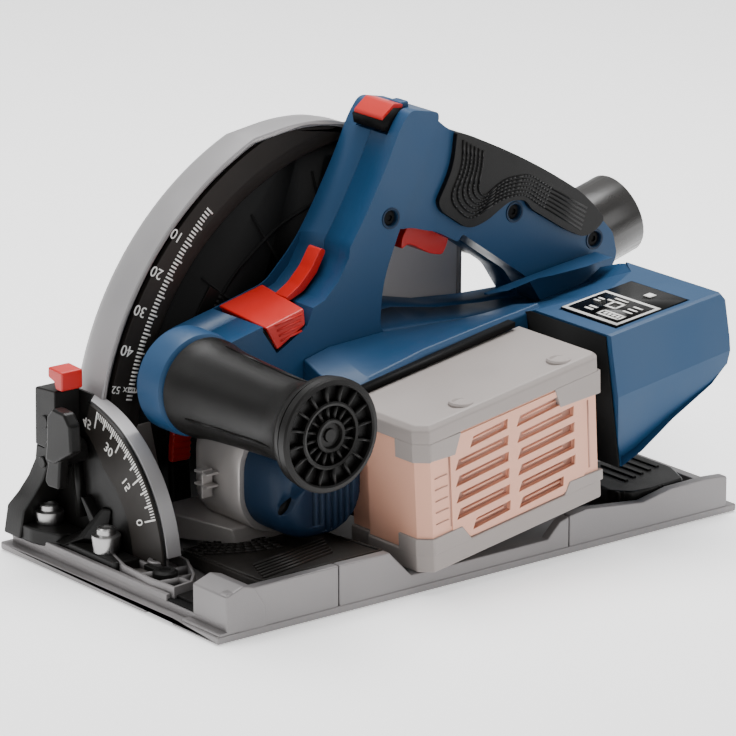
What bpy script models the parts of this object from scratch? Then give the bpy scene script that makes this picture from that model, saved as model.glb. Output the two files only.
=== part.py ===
"""Cordless plunge saw, set to full depth. Sizes are millimetres, turned into metres by MM.

+X runs to the rear, +Y to the blade side, +Z up. The base sole is at z = 0, and the blade hangs below it.
"""
import math

import bmesh
import bpy
from mathutils import Matrix, Vector

MM = 0.001
GAP = 0.35  # clearance between neighbouring pieces

# Base
BASE_LENGTH = 338.0
BASE_WIDTH = 186.5
LIP_HEIGHT = 4.0
DECK_HEIGHT = 8.0
WALL_HEIGHT = 25.0
REAR_WALL_HEIGHT = 20.0
NOTCH_HEIGHT = 9.5
TRAY_NEAR = 23.4
TRAY_FAR = 12.5
HALF_LENGTH = BASE_LENGTH / 2
HALF_WIDTH = BASE_WIDTH / 2

# Axes
BEVEL_AXIS = (60.0, 10.0)  # y, z of the tilt axis, along X
PLUNGE_AXIS = (60.0, 40.0)  # x, z of the plunge axis, along Y
SPINDLE = (-38.0, 18.0)  # x, z at full depth
MOTOR = (-71.0, 50.0)
IDLER = ((SPINDLE[0] + MOTOR[0]) / 2, (SPINDLE[1] + MOTOR[1]) / 2)
GUARD_CENTRE = (34.0, 49.0)
AUX_HANDLE = (-107.0, 97.5)

# Cutting parts
BLADE_RADIUS = 70.0
BLADE_THICKNESS = 1.8
BLADE_PLANE = 64.0
TOOTH_COUNT = 24
FLANGE_RADIUS = 16.0
SPINDLE_RADIUS = 5.0

# Guard
GUARD_RADIUS = 170.0
GUARD_NEAR = 47.0
GUARD_FAR = 80.0
GUARD_BOTTOM = 36.0
GUARD_WALL = 4.0
GUARD_REAR = 97.0
SCALE_OUTER = 164.0
SCALE_INNER = 130.0
PIPE_END = (222.0, 118.0)  # x, z of the middle of the pipe mouth
PIPE_RISE = 15.5  # degrees

# Swing unit
BODY_NEAR = 1.0
BODY_FAR = 44.0
BODY_SPLIT = (BODY_NEAR + BODY_FAR) / 2
SHELL_WALL = 3.5
MOTOR_SIDE = 54.0
BELL_SIDE = 58.0
MOTOR_CORNER = 22.0
MOTOR_END = -51.0
BELL_NEAR = -20.0
BELL_FAR = 22.0
GEARBOX_FAR = 44.0
HOUSING_NEAR = -100.0

# Battery, in its own frame: length, width, height
BATTERY_SIZE = (113.0, 65.0, 77.0)
BATTERY_CORNER = (-38.9, 11.5)  # x, z of the lower front corner
BATTERY_NEAR = -100.0
UNIT_TILT = 9.4  # degrees that its rails climb to the rear
UNIT_LEAN = 3.0  # degrees that its ends lean forward

PARTS = None
CUTTERS = None


def clear_scene():
    for obj in list(bpy.data.objects):
        bpy.data.objects.remove(obj, do_unlink=True)


def new_collection(name):
    made = bpy.data.collections.new(name)
    bpy.context.scene.collection.children.link(made)
    return made


def material(name, colour, roughness=0.5, metallic=0.0):
    made = bpy.data.materials.new(name)
    made.use_nodes = True
    shader = made.node_tree.nodes["Principled BSDF"]
    shader.inputs["Base Color"].default_value = (*colour, 1.0)
    shader.inputs["Roughness"].default_value = roughness
    shader.inputs["Metallic"].default_value = metallic
    return made


def add(name, mesh):
    """Links a mesh, already in world metres, as a part."""
    obj = bpy.data.objects.new(name, mesh)
    PARTS.objects.link(obj)
    return obj


def finish(obj, look):
    obj.data.materials.clear()
    obj.data.materials.append(look)
    obj.data.set_sharp_from_angle(angle=math.radians(35))
    return obj


def modify(obj, tool, operation):
    """Boolean with a tool object, which goes to the cutters."""
    step = obj.modifiers.new(operation.title() + " " + tool.name, "BOOLEAN")
    step.operation = operation
    step.solver = "EXACT"
    step.object = tool
    for home in list(tool.users_collection):
        home.objects.unlink(tool)
    CUTTERS.objects.link(tool)
    tool.hide_render = True
    tool.display_type = "WIRE"


def cut(obj, *tools):
    for tool in tools:
        modify(obj, tool, "DIFFERENCE")
    return obj


def join(obj, *tools):
    for tool in tools:
        modify(obj, tool, "UNION")
    return obj


def axis_matrix(axis):
    """Takes local XY to the plane that the outline is drawn in, and local Z along the axis."""
    columns = {
        "X": ((0, 1, 0), (0, 0, 1), (1, 0, 0)),
        "Y": ((1, 0, 0), (0, 0, 1), (0, -1, 0)),
        "Z": ((1, 0, 0), (0, 1, 0), (0, 0, 1)),
    }[axis]
    return Matrix(columns).transposed().to_4x4()


def prism(name, outline, axis, low, high, soften=0.0, soften_end=0.0):
    """An outline (y,z for X; x,z for Y; x,y for Z) extruded from low to high along the axis.

    soften bevels every edge round both ends; soften_end bevels only those at the high end.
    """
    curve = bpy.data.curves.new(name, "CURVE")
    curve.dimensions = "2D"
    curve.fill_mode = "BOTH"
    curve.extrude = (high - low) / 2 * MM
    spline = curve.splines.new("POLY")
    spline.points.add(len(outline) - 1)
    for point, (a, b) in zip(spline.points, outline):
        point.co = (a * MM, b * MM, 0, 1)
    spline.use_cyclic_u = True
    flat = bpy.data.objects.new(name, curve)
    PARTS.objects.link(flat)
    middle = (high + low) / 2 * MM
    shift = {"X": (middle, 0, 0), "Y": (0, middle, 0), "Z": (0, 0, middle)}[axis]
    graph = bpy.context.evaluated_depsgraph_get()
    mesh = bpy.data.meshes.new_from_object(flat.evaluated_get(graph))
    mesh.transform(Matrix.Translation(shift) @ axis_matrix(axis))
    bpy.data.objects.remove(flat)
    work = bmesh.new()
    work.from_mesh(mesh)
    bmesh.ops.remove_doubles(work, verts=work.verts, dist=1e-6)
    bmesh.ops.recalc_face_normals(work, faces=work.faces)
    bmesh.ops.dissolve_limit(work, angle_limit=0.001, verts=work.verts, edges=work.edges)
    index = "XYZ".index(axis)
    ends = [low, high] if soften else [high] if soften_end else []
    edges = []
    for end in ends:
        edges += [e for e in work.edges if all(abs(v.co[index] - end * MM) < 1e-6 for v in e.verts)]
    if edges:
        bmesh.ops.bevel(
            work, geom=edges, offset=(soften or soften_end) * MM, segments=2 if soften else 3, profile=0.5,
            affect="EDGES", clamp_overlap=True,
        )
    work.to_mesh(mesh)
    work.free()
    return add(name, mesh)


def box(name, low, high, soften=0.0):
    bpy.ops.mesh.primitive_cube_add(size=1)
    cube = bpy.context.object
    mesh = cube.data.copy()
    bpy.data.objects.remove(cube)
    size = [(b - a) * MM for a, b in zip(low, high)]
    centre = [(b + a) / 2 * MM for a, b in zip(low, high)]
    mesh.transform(Matrix.Translation(centre) @ Matrix.Diagonal((*size, 1)))
    obj = add(name, mesh)
    if soften:
        bevel = obj.modifiers.new("Bevel", "BEVEL")
        bevel.width = soften * MM
        bevel.segments = 2
    return obj


def turned(name, profile, centre, axis="Y", sides=32):
    """A profile of (radius, place along the axis), from high to low, screwed round an axis."""
    mesh = bpy.data.meshes.new(name)
    verts = [(r * MM, 0, h * MM) for r, h in profile]
    edges = [(i, (i + 1) % len(verts)) for i in range(len(verts))]
    if profile[0][0] == 0 and profile[-1][0] == 0:
        edges = edges[:-1]
    mesh.from_pydata(verts, edges, [])
    obj = add(name, mesh)
    screw = obj.modifiers.new("Screw", "SCREW")
    screw.steps = sides
    screw.render_steps = sides
    screw.use_merge_vertices = True
    screw.merge_threshold = 0.00001
    screw.use_smooth_shade = True
    turns = {
        "X": Matrix.Rotation(math.pi / 2, 4, "Y"),
        "Y": Matrix.Rotation(-math.pi / 2, 4, "X"),
        "Z": Matrix(),
    }
    a, b = (value * MM for value in centre)
    place = {"X": (0, a, b), "Y": (a, 0, b), "Z": (a, b, 0)}[axis]
    obj.matrix_world = Matrix.Translation(place) @ turns[axis]
    return obj


def rod(name, centre, axis, low, high, radius, sides=24):
    """A plain round bar along an axis."""
    return turned(name, [(0, high), (radius, high), (radius, low), (0, low)], centre, axis, sides)


def ring(name, centre, axis, low, high, outer, inner, sides=32):
    profile = [(outer, high), (outer, low), (inner, low), (inner, high)]
    return turned(name, profile, centre, axis, sides)


def arc(centre, radius, start, end, steps):
    """Points along a circle, angles in degrees."""
    turns = [math.radians(start + (end - start) * i / steps) for i in range(steps + 1)]
    return [(centre[0] + radius * math.cos(t), centre[1] + radius * math.sin(t)) for t in turns]


def rounded(points, radius, steps=3):
    """The outline with each corner turned into an arc-like curve."""
    made = []
    count = len(points)
    for i, here in enumerate(points):
        corner = Vector(here)
        before = Vector(points[i - 1]) - corner
        after = Vector(points[(i + 1) % count]) - corner
        reach = min(radius, before.length * 0.45, after.length * 0.45)
        first = corner + before.normalized() * reach
        last = corner + after.normalized() * reach
        for k in range(steps + 1):
            t = k / steps
            made.append(tuple(first * (1 - t) ** 2 + corner * 2 * t * (1 - t) + last * t**2))
    return made


def inset(points, distance):
    """The outline moved inwards, for a counter-clockwise or clockwise polygon without sharp spikes."""
    area = sum(a[0] * b[1] - b[0] * a[1] for a, b in zip(points, points[1:] + points[:1]))
    side = 1 if area > 0 else -1
    made = []
    for i, here in enumerate(points):
        before = (Vector(here) - Vector(points[i - 1])).normalized()
        after = (Vector(points[(i + 1) % len(points)]) - Vector(here)).normalized()
        normal_a = Vector((-before.y, before.x)) * side
        normal_b = Vector((-after.y, after.x)) * side
        middle = (normal_a + normal_b).normalized()
        made.append(tuple(Vector(here) + middle * distance / max(middle.dot(normal_a), 0.4)))
    return made


def hull(circles, steps=12):
    """The outline round several circles, given as (x, z, radius)."""
    cloud = [p for x, z, r in circles for p in arc((x, z), r, 0, 360 - 360 / (2 * steps), 2 * steps)]
    cloud = sorted(set((round(x, 4), round(z, 4)) for x, z in cloud))
    made = []
    for run in (cloud, cloud[::-1]):
        side = []
        for p in run:
            while len(side) > 1 and turns_right(side[-2], side[-1], p):
                side.pop()
            side.append(p)
        made += side[:-1]
    return made


def turns_right(a, b, c):
    return (b[0] - a[0]) * (c[1] - a[1]) - (b[1] - a[1]) * (c[0] - a[0]) <= 1e-6


def pivot(name, place):
    """An empty on a joint's axis, which the moving pieces are parented to."""
    empty = bpy.data.objects.new(name, None)
    empty.empty_display_size = 0.02
    empty.location = [value * MM for value in place]
    PARTS.objects.link(empty)
    return empty


def hang(empty, *objects):
    bpy.context.view_layer.update()
    for obj in objects:
        obj.parent = empty
        obj.matrix_parent_inverse = empty.matrix_world.inverted()


# Base and its brackets


def make_base(looks):
    corners = [(-1, -1), (1, -1), (1, 1), (-1, 1)]
    lip = rounded([(a * HALF_LENGTH, b * HALF_WIDTH) for a, b in corners], 7)
    base = prism("base_plate", lip, "Z", 0, LIP_HEIGHT)
    front = -HALF_LENGTH + 6
    rear = HALF_LENGTH - 6
    join(base, box("deck", (front, -HALF_WIDTH + 1, 2), (rear, HALF_WIDTH - 2, DECK_HEIGHT)))
    near_wall = [
        (front, 2), (front, WALL_HEIGHT), (-62, WALL_HEIGHT), (-48, NOTCH_HEIGHT), (45, NOTCH_HEIGHT),
        (57, REAR_WALL_HEIGHT), (rear - 4, REAR_WALL_HEIGHT - 2), (rear, 13), (rear, 2),
    ]
    join(base, prism("near_wall", near_wall, "Y", -HALF_WIDTH + 0.5, -HALF_WIDTH + 6))
    join(base, box("rear_wall", (rear - 5, -HALF_WIDTH + 3, 5), (rear - 0.4, HALF_WIDTH - 6, 15)))
    join(base, box("front_wall", (front + 0.4, -66, 5), (front + 4, 0, 12)))
    block_front = front + 0.6
    block_back = [(-148, WALL_HEIGHT - 0.6), (-138, 14), (-138, 3)]
    block = [(block_front, 3), (block_front, WALL_HEIGHT - 2), *block_back]
    join(base, prism("corner_block", block, "Y", -HALF_WIDTH + 4, -68))
    for place in (-58, -46):
        join(base, box("front_rib", (front + 0.8, place, 6), (-140, place + 3, 18)))
    blade_slot = box("blade_slot", (-122, 46, -1), (122, 83, 9))
    gear_window = box("gear_window", (-84, 5, -1), (-12, 50, 9))
    hinge_pocket = box("hinge_pocket", (-160, 49, 2), (154, 71, 9))
    rail_groove = box("rail_groove", (-HALF_LENGTH - 1, -55, -1), (HALF_LENGTH + 1, -33, 3.2))
    cut(base, blade_slot, gear_window, hinge_pocket, rail_groove)
    tray_outline = rounded([(-136.5, -86), (-60, -85), (-48, 3), (-118, 3)], 4, 2)
    tray = prism("deck_tray", tray_outline, "Z", DECK_HEIGHT + GAP, 30)
    above = [(-100, TRAY_NEAR), (-84, TRAY_NEAR), (10, TRAY_FAR), (10, 40), (-100, 40)]
    cut(tray, prism("tray_slope", above, "X", -150, -30))
    join(tray, prism("tray_fan", arc((-92, -12), 24, 180, 360, 10), "Z", 11, TRAY_FAR + 4.5, 0.5))
    rear_box = box("rear_deck_box", (104, -84, DECK_HEIGHT + GAP), (148, -34, 22), 2)
    return [finish(base, looks["cast"]), finish(tray, looks["black"]), finish(rear_box, looks["black"])]


def bracket_outline(top, far, near_angle, radius):
    low = DECK_HEIGHT + GAP
    edge = arc(BEVEL_AXIS, radius, near_angle, 99, 10)
    return [(far, low), (edge[0][0], low), *edge, (far - 5, top), (far - 5, top - 32)]


def make_brackets(looks):
    made = []
    low = DECK_HEIGHT + GAP
    front = prism("front_bevel_bracket", bracket_outline(89, 92, 176, 76), "X", -147.5, -143)
    join(front, box("bracket_foot", (-161, 6, low), (-145, 91.5, 20), 1.5))
    join(front, box("bracket_web", (-158, 72, 15), (-145, 77, 84)))
    join(front, box("bracket_side", (-156, 82, 15), (-145, 86.5, 86)))
    cut(front, rod("front_hinge_bore", BEVEL_AXIS, "X", -170, -130, 3.4, 16))
    rear = prism("rear_bevel_bracket", bracket_outline(52, 92, 150, 42), "X", 128.6, 133.5)
    join(rear, box("rear_bracket_foot", (131, 20, low), (152, 91.5, 18), 1.5))
    cut(rear, rod("rear_hinge_bore", BEVEL_AXIS, "X", 120, 170, 3.4, 16))
    made += [finish(front, looks["black"]), finish(rear, looks["black"])]
    for name, start, end in (("bevel_pin_front", -158, -136.5), ("bevel_pin_rear", 122.6, 150)):
        made.append(finish(rod(name, BEVEL_AXIS, "X", start, end, 3.0, 16), looks["steel"]))
    for side, x, places, top in (("front", -155, (15, 64), 20), ("rear", 143, (32, 82), 18)):
        for number, y in enumerate(places, 1):
            head = [(0, top + 6), (5, top + 5), (5, top + 2), (7, top + 1.6), (7, top + GAP), (0, top + GAP)]
            bolt = turned(f"bracket_bolt_{side}_{number}", head, (x, y), "Z", 20)
            cut(bolt, prism("hex_socket", arc((x, y), 2.6, 0, 300, 5), "Z", top + 3, top + 8))
            made.append(finish(bolt, looks["steel"]))
    return made


def make_bevel_controls(looks):
    clip_outline = [(-160, 89.4), (-160, 100), (-155, 102), (-145, 99), (-143.6, 94), (-146, 89.4)]
    clip = prism("bevel_stop_clip", rounded(clip_outline, 1.5, 2), "Y", 40, 71, 0.8)
    join(clip, box("clip_stem", (-151, 60, 85), (-147.9, 66, 92)))
    knobs = []
    places = (("front_bevel_knob", -147.9, -163, (52, 60)), ("rear_bevel_knob", 134, 150, (60, 36)))
    for name, root, tip, centre in places:
        low, high = sorted((root, tip))
        knob = rod(name, centre, "X", low, high, 9, 20)
        middle = root + (tip - root) * 0.4
        ends = sorted((middle, tip - (tip - root) * 0.06))
        low_corner = (ends[0], centre[0] - 4, centre[1] - 15)
        high_corner = (ends[1], centre[0] + 4, centre[1] + 15)
        join(knob, box("knob_wing", low_corner, high_corner, 1.5))
        knobs.append(finish(knob, looks["black"]))
    low = DECK_HEIGHT + GAP
    cam = turned("rail_cam", [(0, 17), (5, 17), (7, 15), (7, low), (0, low)], (-150, -24), "Z", 20)
    join(cam, box("cam_lever", (-152, -24, 13), (-148, -8, 16.5)))
    hang(pivot("clip_axis", (-149.5, 63, 88)), finish(clip, looks["red"]))
    hang(pivot("front_knob_axis", (-150, 52, 60)), knobs[0])
    hang(pivot("rear_knob_axis", (140, 60, 36)), knobs[1])
    hang(pivot("cam_axis", (-150, -24, 10)), finish(cam, looks["black"]))


# Guard, which tilts


def guard_outline():
    front = arc(GUARD_CENTRE, GUARD_RADIUS, 185.5, 112, 16)
    slope = [(-10, 209), (13, 205), (60, 178), (90, 152), (GUARD_REAR, 140)]
    return [*front, *slope, (GUARD_REAR, GUARD_BOTTOM)]


def make_guard(looks):
    outline = guard_outline()
    shell = prism("guard_shell", outline, "Y", GUARD_NEAR, GUARD_FAR, soften_end=9)
    hollow = [(x, z - 30) if z < GUARD_BOTTOM + 9 else (x, z) for x, z in inset(outline, GUARD_WALL)]
    cut(shell, prism("guard_hollow", hollow, "Y", GUARD_NEAR - 5, GUARD_FAR - 3, soften_end=7))
    cut(shell, box("dust_window", (90, 58, 112), (108, 76, 132)))
    outer_edge = arc(GUARD_CENTRE, SCALE_OUTER, 180, 113, 14)
    inner_edge = arc(GUARD_CENTRE, SCALE_INNER, 99, 180, 12)
    band = [*outer_edge, (-11, 202), (10, 198.4), *inner_edge]
    ring_cover = prism("guard_scale_cover", band, "Y", GUARD_NEAR + 0.3, 51.5)
    wall = prism("guard_inner_wall", inset(outline, GUARD_WALL + 1.2), "Y", 52, 54)
    path = arc(PLUNGE_AXIS, 115, 154, 200, 8) + arc(PLUNGE_AXIS, 86, 200, 154, 8)
    cut(wall, prism("spindle_path", path, "Y", 40, 60))
    cut(wall, rod("pivot_bore_wall", PLUNGE_AXIS, "Y", 40, 60, 6.4))
    return [finish(shell, looks["guard"]), finish(ring_cover, looks["scale"]), finish(wall, looks["black"])]


def make_quadrants(looks):
    front_outline = arc(BEVEL_AXIS, 76, 176, 66, 16) + arc(BEVEL_AXIS, 7, 60, -120, 8)
    front_outline += arc(BEVEL_AXIS, 69, 112, 176, 10)
    front = prism("bevel_quadrant_front", front_outline, "X", -142.5, -136.4)
    strip = arc(BEVEL_AXIS, 76.4, 175, 103, 12) + arc(BEVEL_AXIS, 69.6, 103, 175, 12)
    join(front, prism("quadrant_strip", strip, "X", -141, -133.5))
    cut(front, rod("front_quadrant_bore", BEVEL_AXIS, "X", -150, -130, 3.4, 16))
    rear_outline = [*arc(BEVEL_AXIS, 44, 130, 50, 8), *arc(BEVEL_AXIS, 7, 40, -140, 8)]
    rear = prism("bevel_quadrant_rear", rear_outline, "X", 122.6, 128.2)
    join(rear, box("rear_quadrant_lug", (GUARD_REAR + GAP, 52, 38), (124, 76, 50)))
    cut(rear, rod("rear_quadrant_bore", BEVEL_AXIS, "X", 115, 140, 3.4, 16))
    return [finish(front, looks["guard"]), finish(rear, looks["guard"])]


def make_dust_port(looks):
    flange = GUARD_REAR + GAP
    outline = rounded([(flange, 108), (flange, 139), (150, 138), (184, 133), (184, 84), (150, 92)], 5, 2)
    duct = prism("dust_port", outline, "Y", 53, 83, 1.5)
    pipe = rod("pipe", (69, 0), "X", -52, 0, 22.5, 32)
    bore = rod("pipe_bore", (69, 0), "X", -68, 5, 19.5, 32)
    mouth = Matrix.Translation((PIPE_END[0] * MM, 0, PIPE_END[1] * MM))
    rise = mouth @ Matrix.Rotation(-math.radians(PIPE_RISE), 4, "Y")
    for piece in (pipe, bore):
        piece.matrix_world = rise @ piece.matrix_world
    join(duct, pipe)
    cut(duct, bore, box("duct_mouth", (90, 58, 112), (166, 78, 132)))
    return [finish(duct, looks["black"])]


def make_plunge_pivot(looks):
    pin = rod("plunge_pivot_pin", PLUNGE_AXIS, "Y", 16, 76.5, 6)
    turns = 3.5
    steps = 12
    curve = bpy.data.curves.new("return_spring", "CURVE")
    curve.dimensions = "3D"
    curve.bevel_depth = 1.0 * MM
    curve.bevel_resolution = 1
    curve.use_fill_caps = True
    spline = curve.splines.new("POLY")
    count = int(turns * steps) + 1
    spline.points.add(count - 1)
    for i, point in enumerate(spline.points):
        t = 2 * math.pi * i / steps
        x = PLUNGE_AXIS[0] + 8.5 * math.cos(t)
        z = PLUNGE_AXIS[1] + 8.5 * math.sin(t)
        point.co = (x * MM, (18 + 13 * i / count) * MM, z * MM, 1)
    spring = bpy.data.objects.new("return_spring", curve)
    PARTS.objects.link(spring)
    spring.data.materials.append(looks["steel"])
    return [finish(pin, looks["steel"]), spring]


def make_depth_stop(looks):
    rack_outline = arc(PLUNGE_AXIS, 155.6, 174, 144, 14) + arc(PLUNGE_AXIS, 142.4, 144, 174, 14)
    rack = prism("depth_rack", rack_outline, "Y", 49.8, 51.6)
    block = prism("depth_stop_block", sector(142.8, 155.2, 184, 177.6), "Y", 45, 49.4, 0.6)
    button = prism("depth_stop_button", sector(143.5, 154.5, 177.3, 169.6), "Y", 44.6, 49.4, 0.8)
    finish(block, looks["black"])
    finish(button, looks["red"])
    axis = pivot("depth_stop_axis", (PLUNGE_AXIS[0], 47, PLUNGE_AXIS[1]))
    hang(axis, block, button)
    return [axis, finish(rack, looks["black"])]


def sector(inner, outer, start, end):
    """The outline between two radii round the plunge axis."""
    return arc(PLUNGE_AXIS, outer, start, end, 4) + arc(PLUNGE_AXIS, inner, end, start, 4)


# Swing unit


def body_outline():
    nose = [(-103, 69.5), (-114, 77), (-118.5, 90), (-113, 105), (-101, 114.5), (-68, 122)]
    column = [(-36, 130), (-17, 148), (-5, 166), (10, 192), (20, 211), (28, 220), (40, 219), (47, 215)]
    grip = [(51, 203.5), (63, 200), (89, 187), (115, 172.5), (139, 157), (152, 149)]
    rear = [(165, 132), (165, 121), (154, 111), (120, 93), (40, 85), (-2, 85)]
    under = [(-20, 82), (-60, 80), (-88, 76)]
    return [*nose, *column, *grip, *rear, *under]


def finger_hole():
    front = [(5.5, 105.5), (7.2, 131), (26, 171)]
    under_grip = [(41, 166.5), (62, 149), (104, 118.5), (116, 108), (112, 101)]
    return rounded(front + under_grip, 6, 3)


def make_body(looks):
    screws = ((12.8, 164.6), (97.0, 153.4), (152.0, 129.4))
    outline = rounded(body_outline(), 5, 2)
    halves = []
    sides = (
        ("body_shell_near", BODY_NEAR, BODY_SPLIT - GAP / 2, 1),
        ("body_shell_far", BODY_SPLIT + GAP / 2, BODY_FAR, -1),
    )
    channel = [
        (-34, 121), (-14, 136), (0, 158), (18, 190), (27, 208),
        (40, 206), (41, 197), (28, 184), (6, 150), (0, 128),
    ]
    bar = [
        (46, 190), (60, 187), (86, 176), (126, 152), (140, 140),
        (134, 132), (100, 146), (72, 160), (52, 173), (44, 180),
    ]
    button_space = [(8, 205), (16, 200), (26, 212), (37, 212.5), (37, 230), (8, 230)]
    lever_space = [
        (-76, 110), (-76, 145), (-55, 150), (-12, 180), (-7, 167),
        (-14, 147.5), (-29.5, 128.5), (-36.5, 126), (-43, 110.5), (-61, 105),
    ]
    for name, low, high, face in sides:
        half = prism(name, outline, "Y", low, high)
        cut(half, prism("finger_hole", finger_hole(), "Y", low - 1, high + 1))
        cut(half, prism("bell_space", motor_square(BELL_SIDE + 1.2), "Y", -25, 50))
        inside = (low + SHELL_WALL, high + 5) if face > 0 else (low - 5, high - SHELL_WALL)
        cut(half, prism("column_hollow", channel, "Y", *inside), prism("bar_hollow", bar, "Y", *inside))
        cut(half, box("trigger_space", (30, 12, 128), (70, 32, 170)))
        cut(half, prism("button_space", button_space, "Y", 8, 37))
        cut(half, prism("lever_space", lever_space, "Y", 2.6, 42))
        if face > 0:
            join(half, rod("handle_boss", AUX_HANDLE, "Y", low, 20, 27, 32))
            for x, z in screws:
                cut(half, rod("screw_well", (x, z), "Y", -2, 3.6, 4.4, 16))
        halves.append(finish(half, looks["blue"]))
    fasteners = []
    for number, (x, z) in enumerate(screws, 1):
        fasteners.append(finish(rod(f"body_screw_{number}", (x, z), "Y", 1.4, 3.2, 3.8, 16), looks["steel"]))
    return halves + fasteners


def motor_square(side):
    """The rounded square that the motor, its housing and the bell share."""
    half = side / 2
    corner = MOTOR_CORNER * side / MOTOR_SIDE
    flat = half - corner
    centres = [(flat, flat, 0), (-flat, flat, 90), (-flat, -flat, 180), (flat, -flat, 270)]
    made = []
    for x, z, turn in centres:
        made += arc((MOTOR[0] + x, MOTOR[1] + z), corner, turn, turn + 90, 5)
    return made


def make_grip(looks):
    top = [(52, 206), (64, 202.5), (90, 189.5), (116, 175), (140, 159.5)]
    under = [(118, 137), (92, 135), (72, 145.5), (44, 163), (44, 180)]
    sleeve = prism("rubber_grip", [*top, *under], "Y", BODY_NEAR - 2, BODY_FAR + 1.4, 1.2)
    bar_top = [(40, 218), (53, 205.4), (63.4, 200.8), (89.4, 187.7), (115.5, 173.2), (150, 151)]
    bar_under = [(150, 89), (103, 115.8), (61, 147), (40, 164.6), (30, 175)]
    cut(sleeve, prism("bar_space", [*bar_top, *bar_under], "Y", BODY_NEAR - 0.4, BODY_FAR + 0.4))
    cut(sleeve, box("grip_trigger_space", (30, 12, 120), (70, 32, 168)))
    return [finish(sleeve, looks["rubber"])]


def make_aux_handle(looks):
    start = BODY_NEAR - GAP
    profile = [
        (0, start), (25.5, start), (25.5, -6), (24, -14), (22.5, -40), (21, -70),
        (21.5, -84), (26, -92), (28.5, -95), (28.5, -97.5), (0, -97.5),
    ]
    grip = turned("aux_handle_grip", profile, AUX_HANDLE, "Y", 32)
    cap_profile = [
        (0, -97.9), (29, -97.9), (29, -103), (25.5, -104.5), (24.5, -102), (8, -102), (7, -104), (0, -104),
    ]
    cap = turned("aux_handle_cap", cap_profile, AUX_HANDLE, "Y", 32)
    return [finish(grip, looks["rubber"]), finish(cap, looks["black"])]


def make_gear_case(looks):
    case = prism("gear_case", motor_square(BELL_SIDE), "Y", BELL_NEAR, BELL_FAR)
    join(case, prism("gearbox", hull([(*MOTOR, 22), (*SPINDLE, 15.8)]), "Y", 18, GEARBOX_FAR))
    join(case, prism("arm", hull([(-50, 55, 20), (*PLUNGE_AXIS, 13)]), "Y", 34, GEARBOX_FAR))
    cut(case, prism("motor_space", motor_square(MOTOR_SIDE - 4), "Y", -30, 8))
    pocket = hull([(*MOTOR, 9), (*IDLER, 18.4), (*SPINDLE, 14.2)])
    cut(case, prism("gear_space", pocket, "Y", 24.5, 50))
    cut(case, rod("shaft_bore", MOTOR, "Y", 0, 30, 5), rod("bearing_seat", MOTOR, "Y", 5, 15.4, 9.4))
    cut(case, rod("arm_bore", PLUNGE_AXIS, "Y", 30, 50, 6.4))
    lid = prism("gear_cover", hull([(*MOTOR, 8.6), (*IDLER, 18), (*SPINDLE, 13.8)]), "Y", 40.8, GEARBOX_FAR)
    cut(lid, rod("cover_bore", SPINDLE, "Y", 30, 60, 11.4))
    return [finish(case, looks["cast"]), finish(lid, looks["cast"])]


def make_motor(looks):
    near = MOTOR_END
    housing = prism("motor_housing", motor_square(MOTOR_SIDE), "Y", near, BELL_NEAR - GAP)
    cut(housing, prism("housing_hollow", motor_square(MOTOR_SIDE - 6), "Y", near + 3, BELL_NEAR + 5))
    for offset in (-14, -7, 0, 7, 14):
        x = MOTOR[0] + offset
        cut(housing, box("vent", (x - 1.6, near - 2, 28), (x + 1.6, near + 6, 46)))
    stator = ring("motor_stator", MOTOR, "Y", -42, -12, 23.4, 14, 32)
    bearing = ring("motor_bearing", MOTOR, "Y", 8.4, 15, 9, 3.9, 20)
    shaft = [(0, 34), (3.5, 34), (3.5, -14), (13.5, -14), (13.5, -40), (3.5, -40), (3.5, -46), (0, -46)]
    rotor = turned("motor_rotor", shaft, MOTOR, "Y", 28)
    fan = ring("cooling_fan", MOTOR, "Y", -10, -3, 22, 3.9, 28)
    pinion = ring("pinion", MOTOR, "Y", 27.5, 32.7, 5.7, 3.9, 20)
    moving = [finish(rotor, looks["steel"]), finish(fan, looks["black"]), finish(pinion, looks["steel"])]
    hang(pivot("motor_axis", (MOTOR[0], 0, MOTOR[1])), *moving)
    fixed = [finish(housing, looks["dark_blue"]), finish(stator, looks["copper"])]
    fixed.append(finish(bearing, looks["steel"]))
    return fixed, moving


def make_gears(looks):
    profile = [
        (0, 40), (3, 40), (3, 38.5), (9.3, 38.5), (9.3, 33.2),
        (16.9, 33.2), (16.9, 27.5), (3, 27.5), (3, 25.2), (0, 25.2),
    ]
    idler = finish(turned("intermediate_gear", profile, IDLER, "Y", 28), looks["steel"])
    hang(pivot("idler_axis", (IDLER[0], 0, IDLER[1])), idler)
    loose = SPINDLE_RADIUS + GAP
    wheel = ring("spindle_gear", SPINDLE, "Y", 33.8, 38.5, 13.3, loose, 28)
    bearing = ring("spindle_bearing", SPINDLE, "Y", 41, 46.5, 11, loose, 24)
    spindle = rod("spindle", SPINDLE, "Y", 27, BLADE_PLANE + 1, SPINDLE_RADIUS, 24)
    cut(spindle, rod("bolt_thread", SPINDLE, "Y", 56, 80, 3.35, 16))
    inner = ring("inner_flange", SPINDLE, "Y", 57, BLADE_PLANE - 1.3, FLANGE_RADIUS, loose, 28)
    flange_low = BLADE_PLANE + 1.35
    outer = ring("outer_flange", SPINDLE, "Y", flange_low, flange_low + 2.15, FLANGE_RADIUS - 2, 3.35, 28)
    bolt = rod("arbor_bolt", SPINDLE, "Y", 57, BLADE_PLANE + 6, 3, 16)
    join(bolt, prism("bolt_head", arc(SPINDLE, 7.5, 0, 300, 5), "Y", BLADE_PLANE + 3.9, BLADE_PLANE + 8))
    spinning = [wheel, spindle, inner, outer, bolt]
    for piece in spinning:
        finish(piece, looks["steel"])
    return idler, spinning, [finish(bearing, looks["steel"])]


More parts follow.
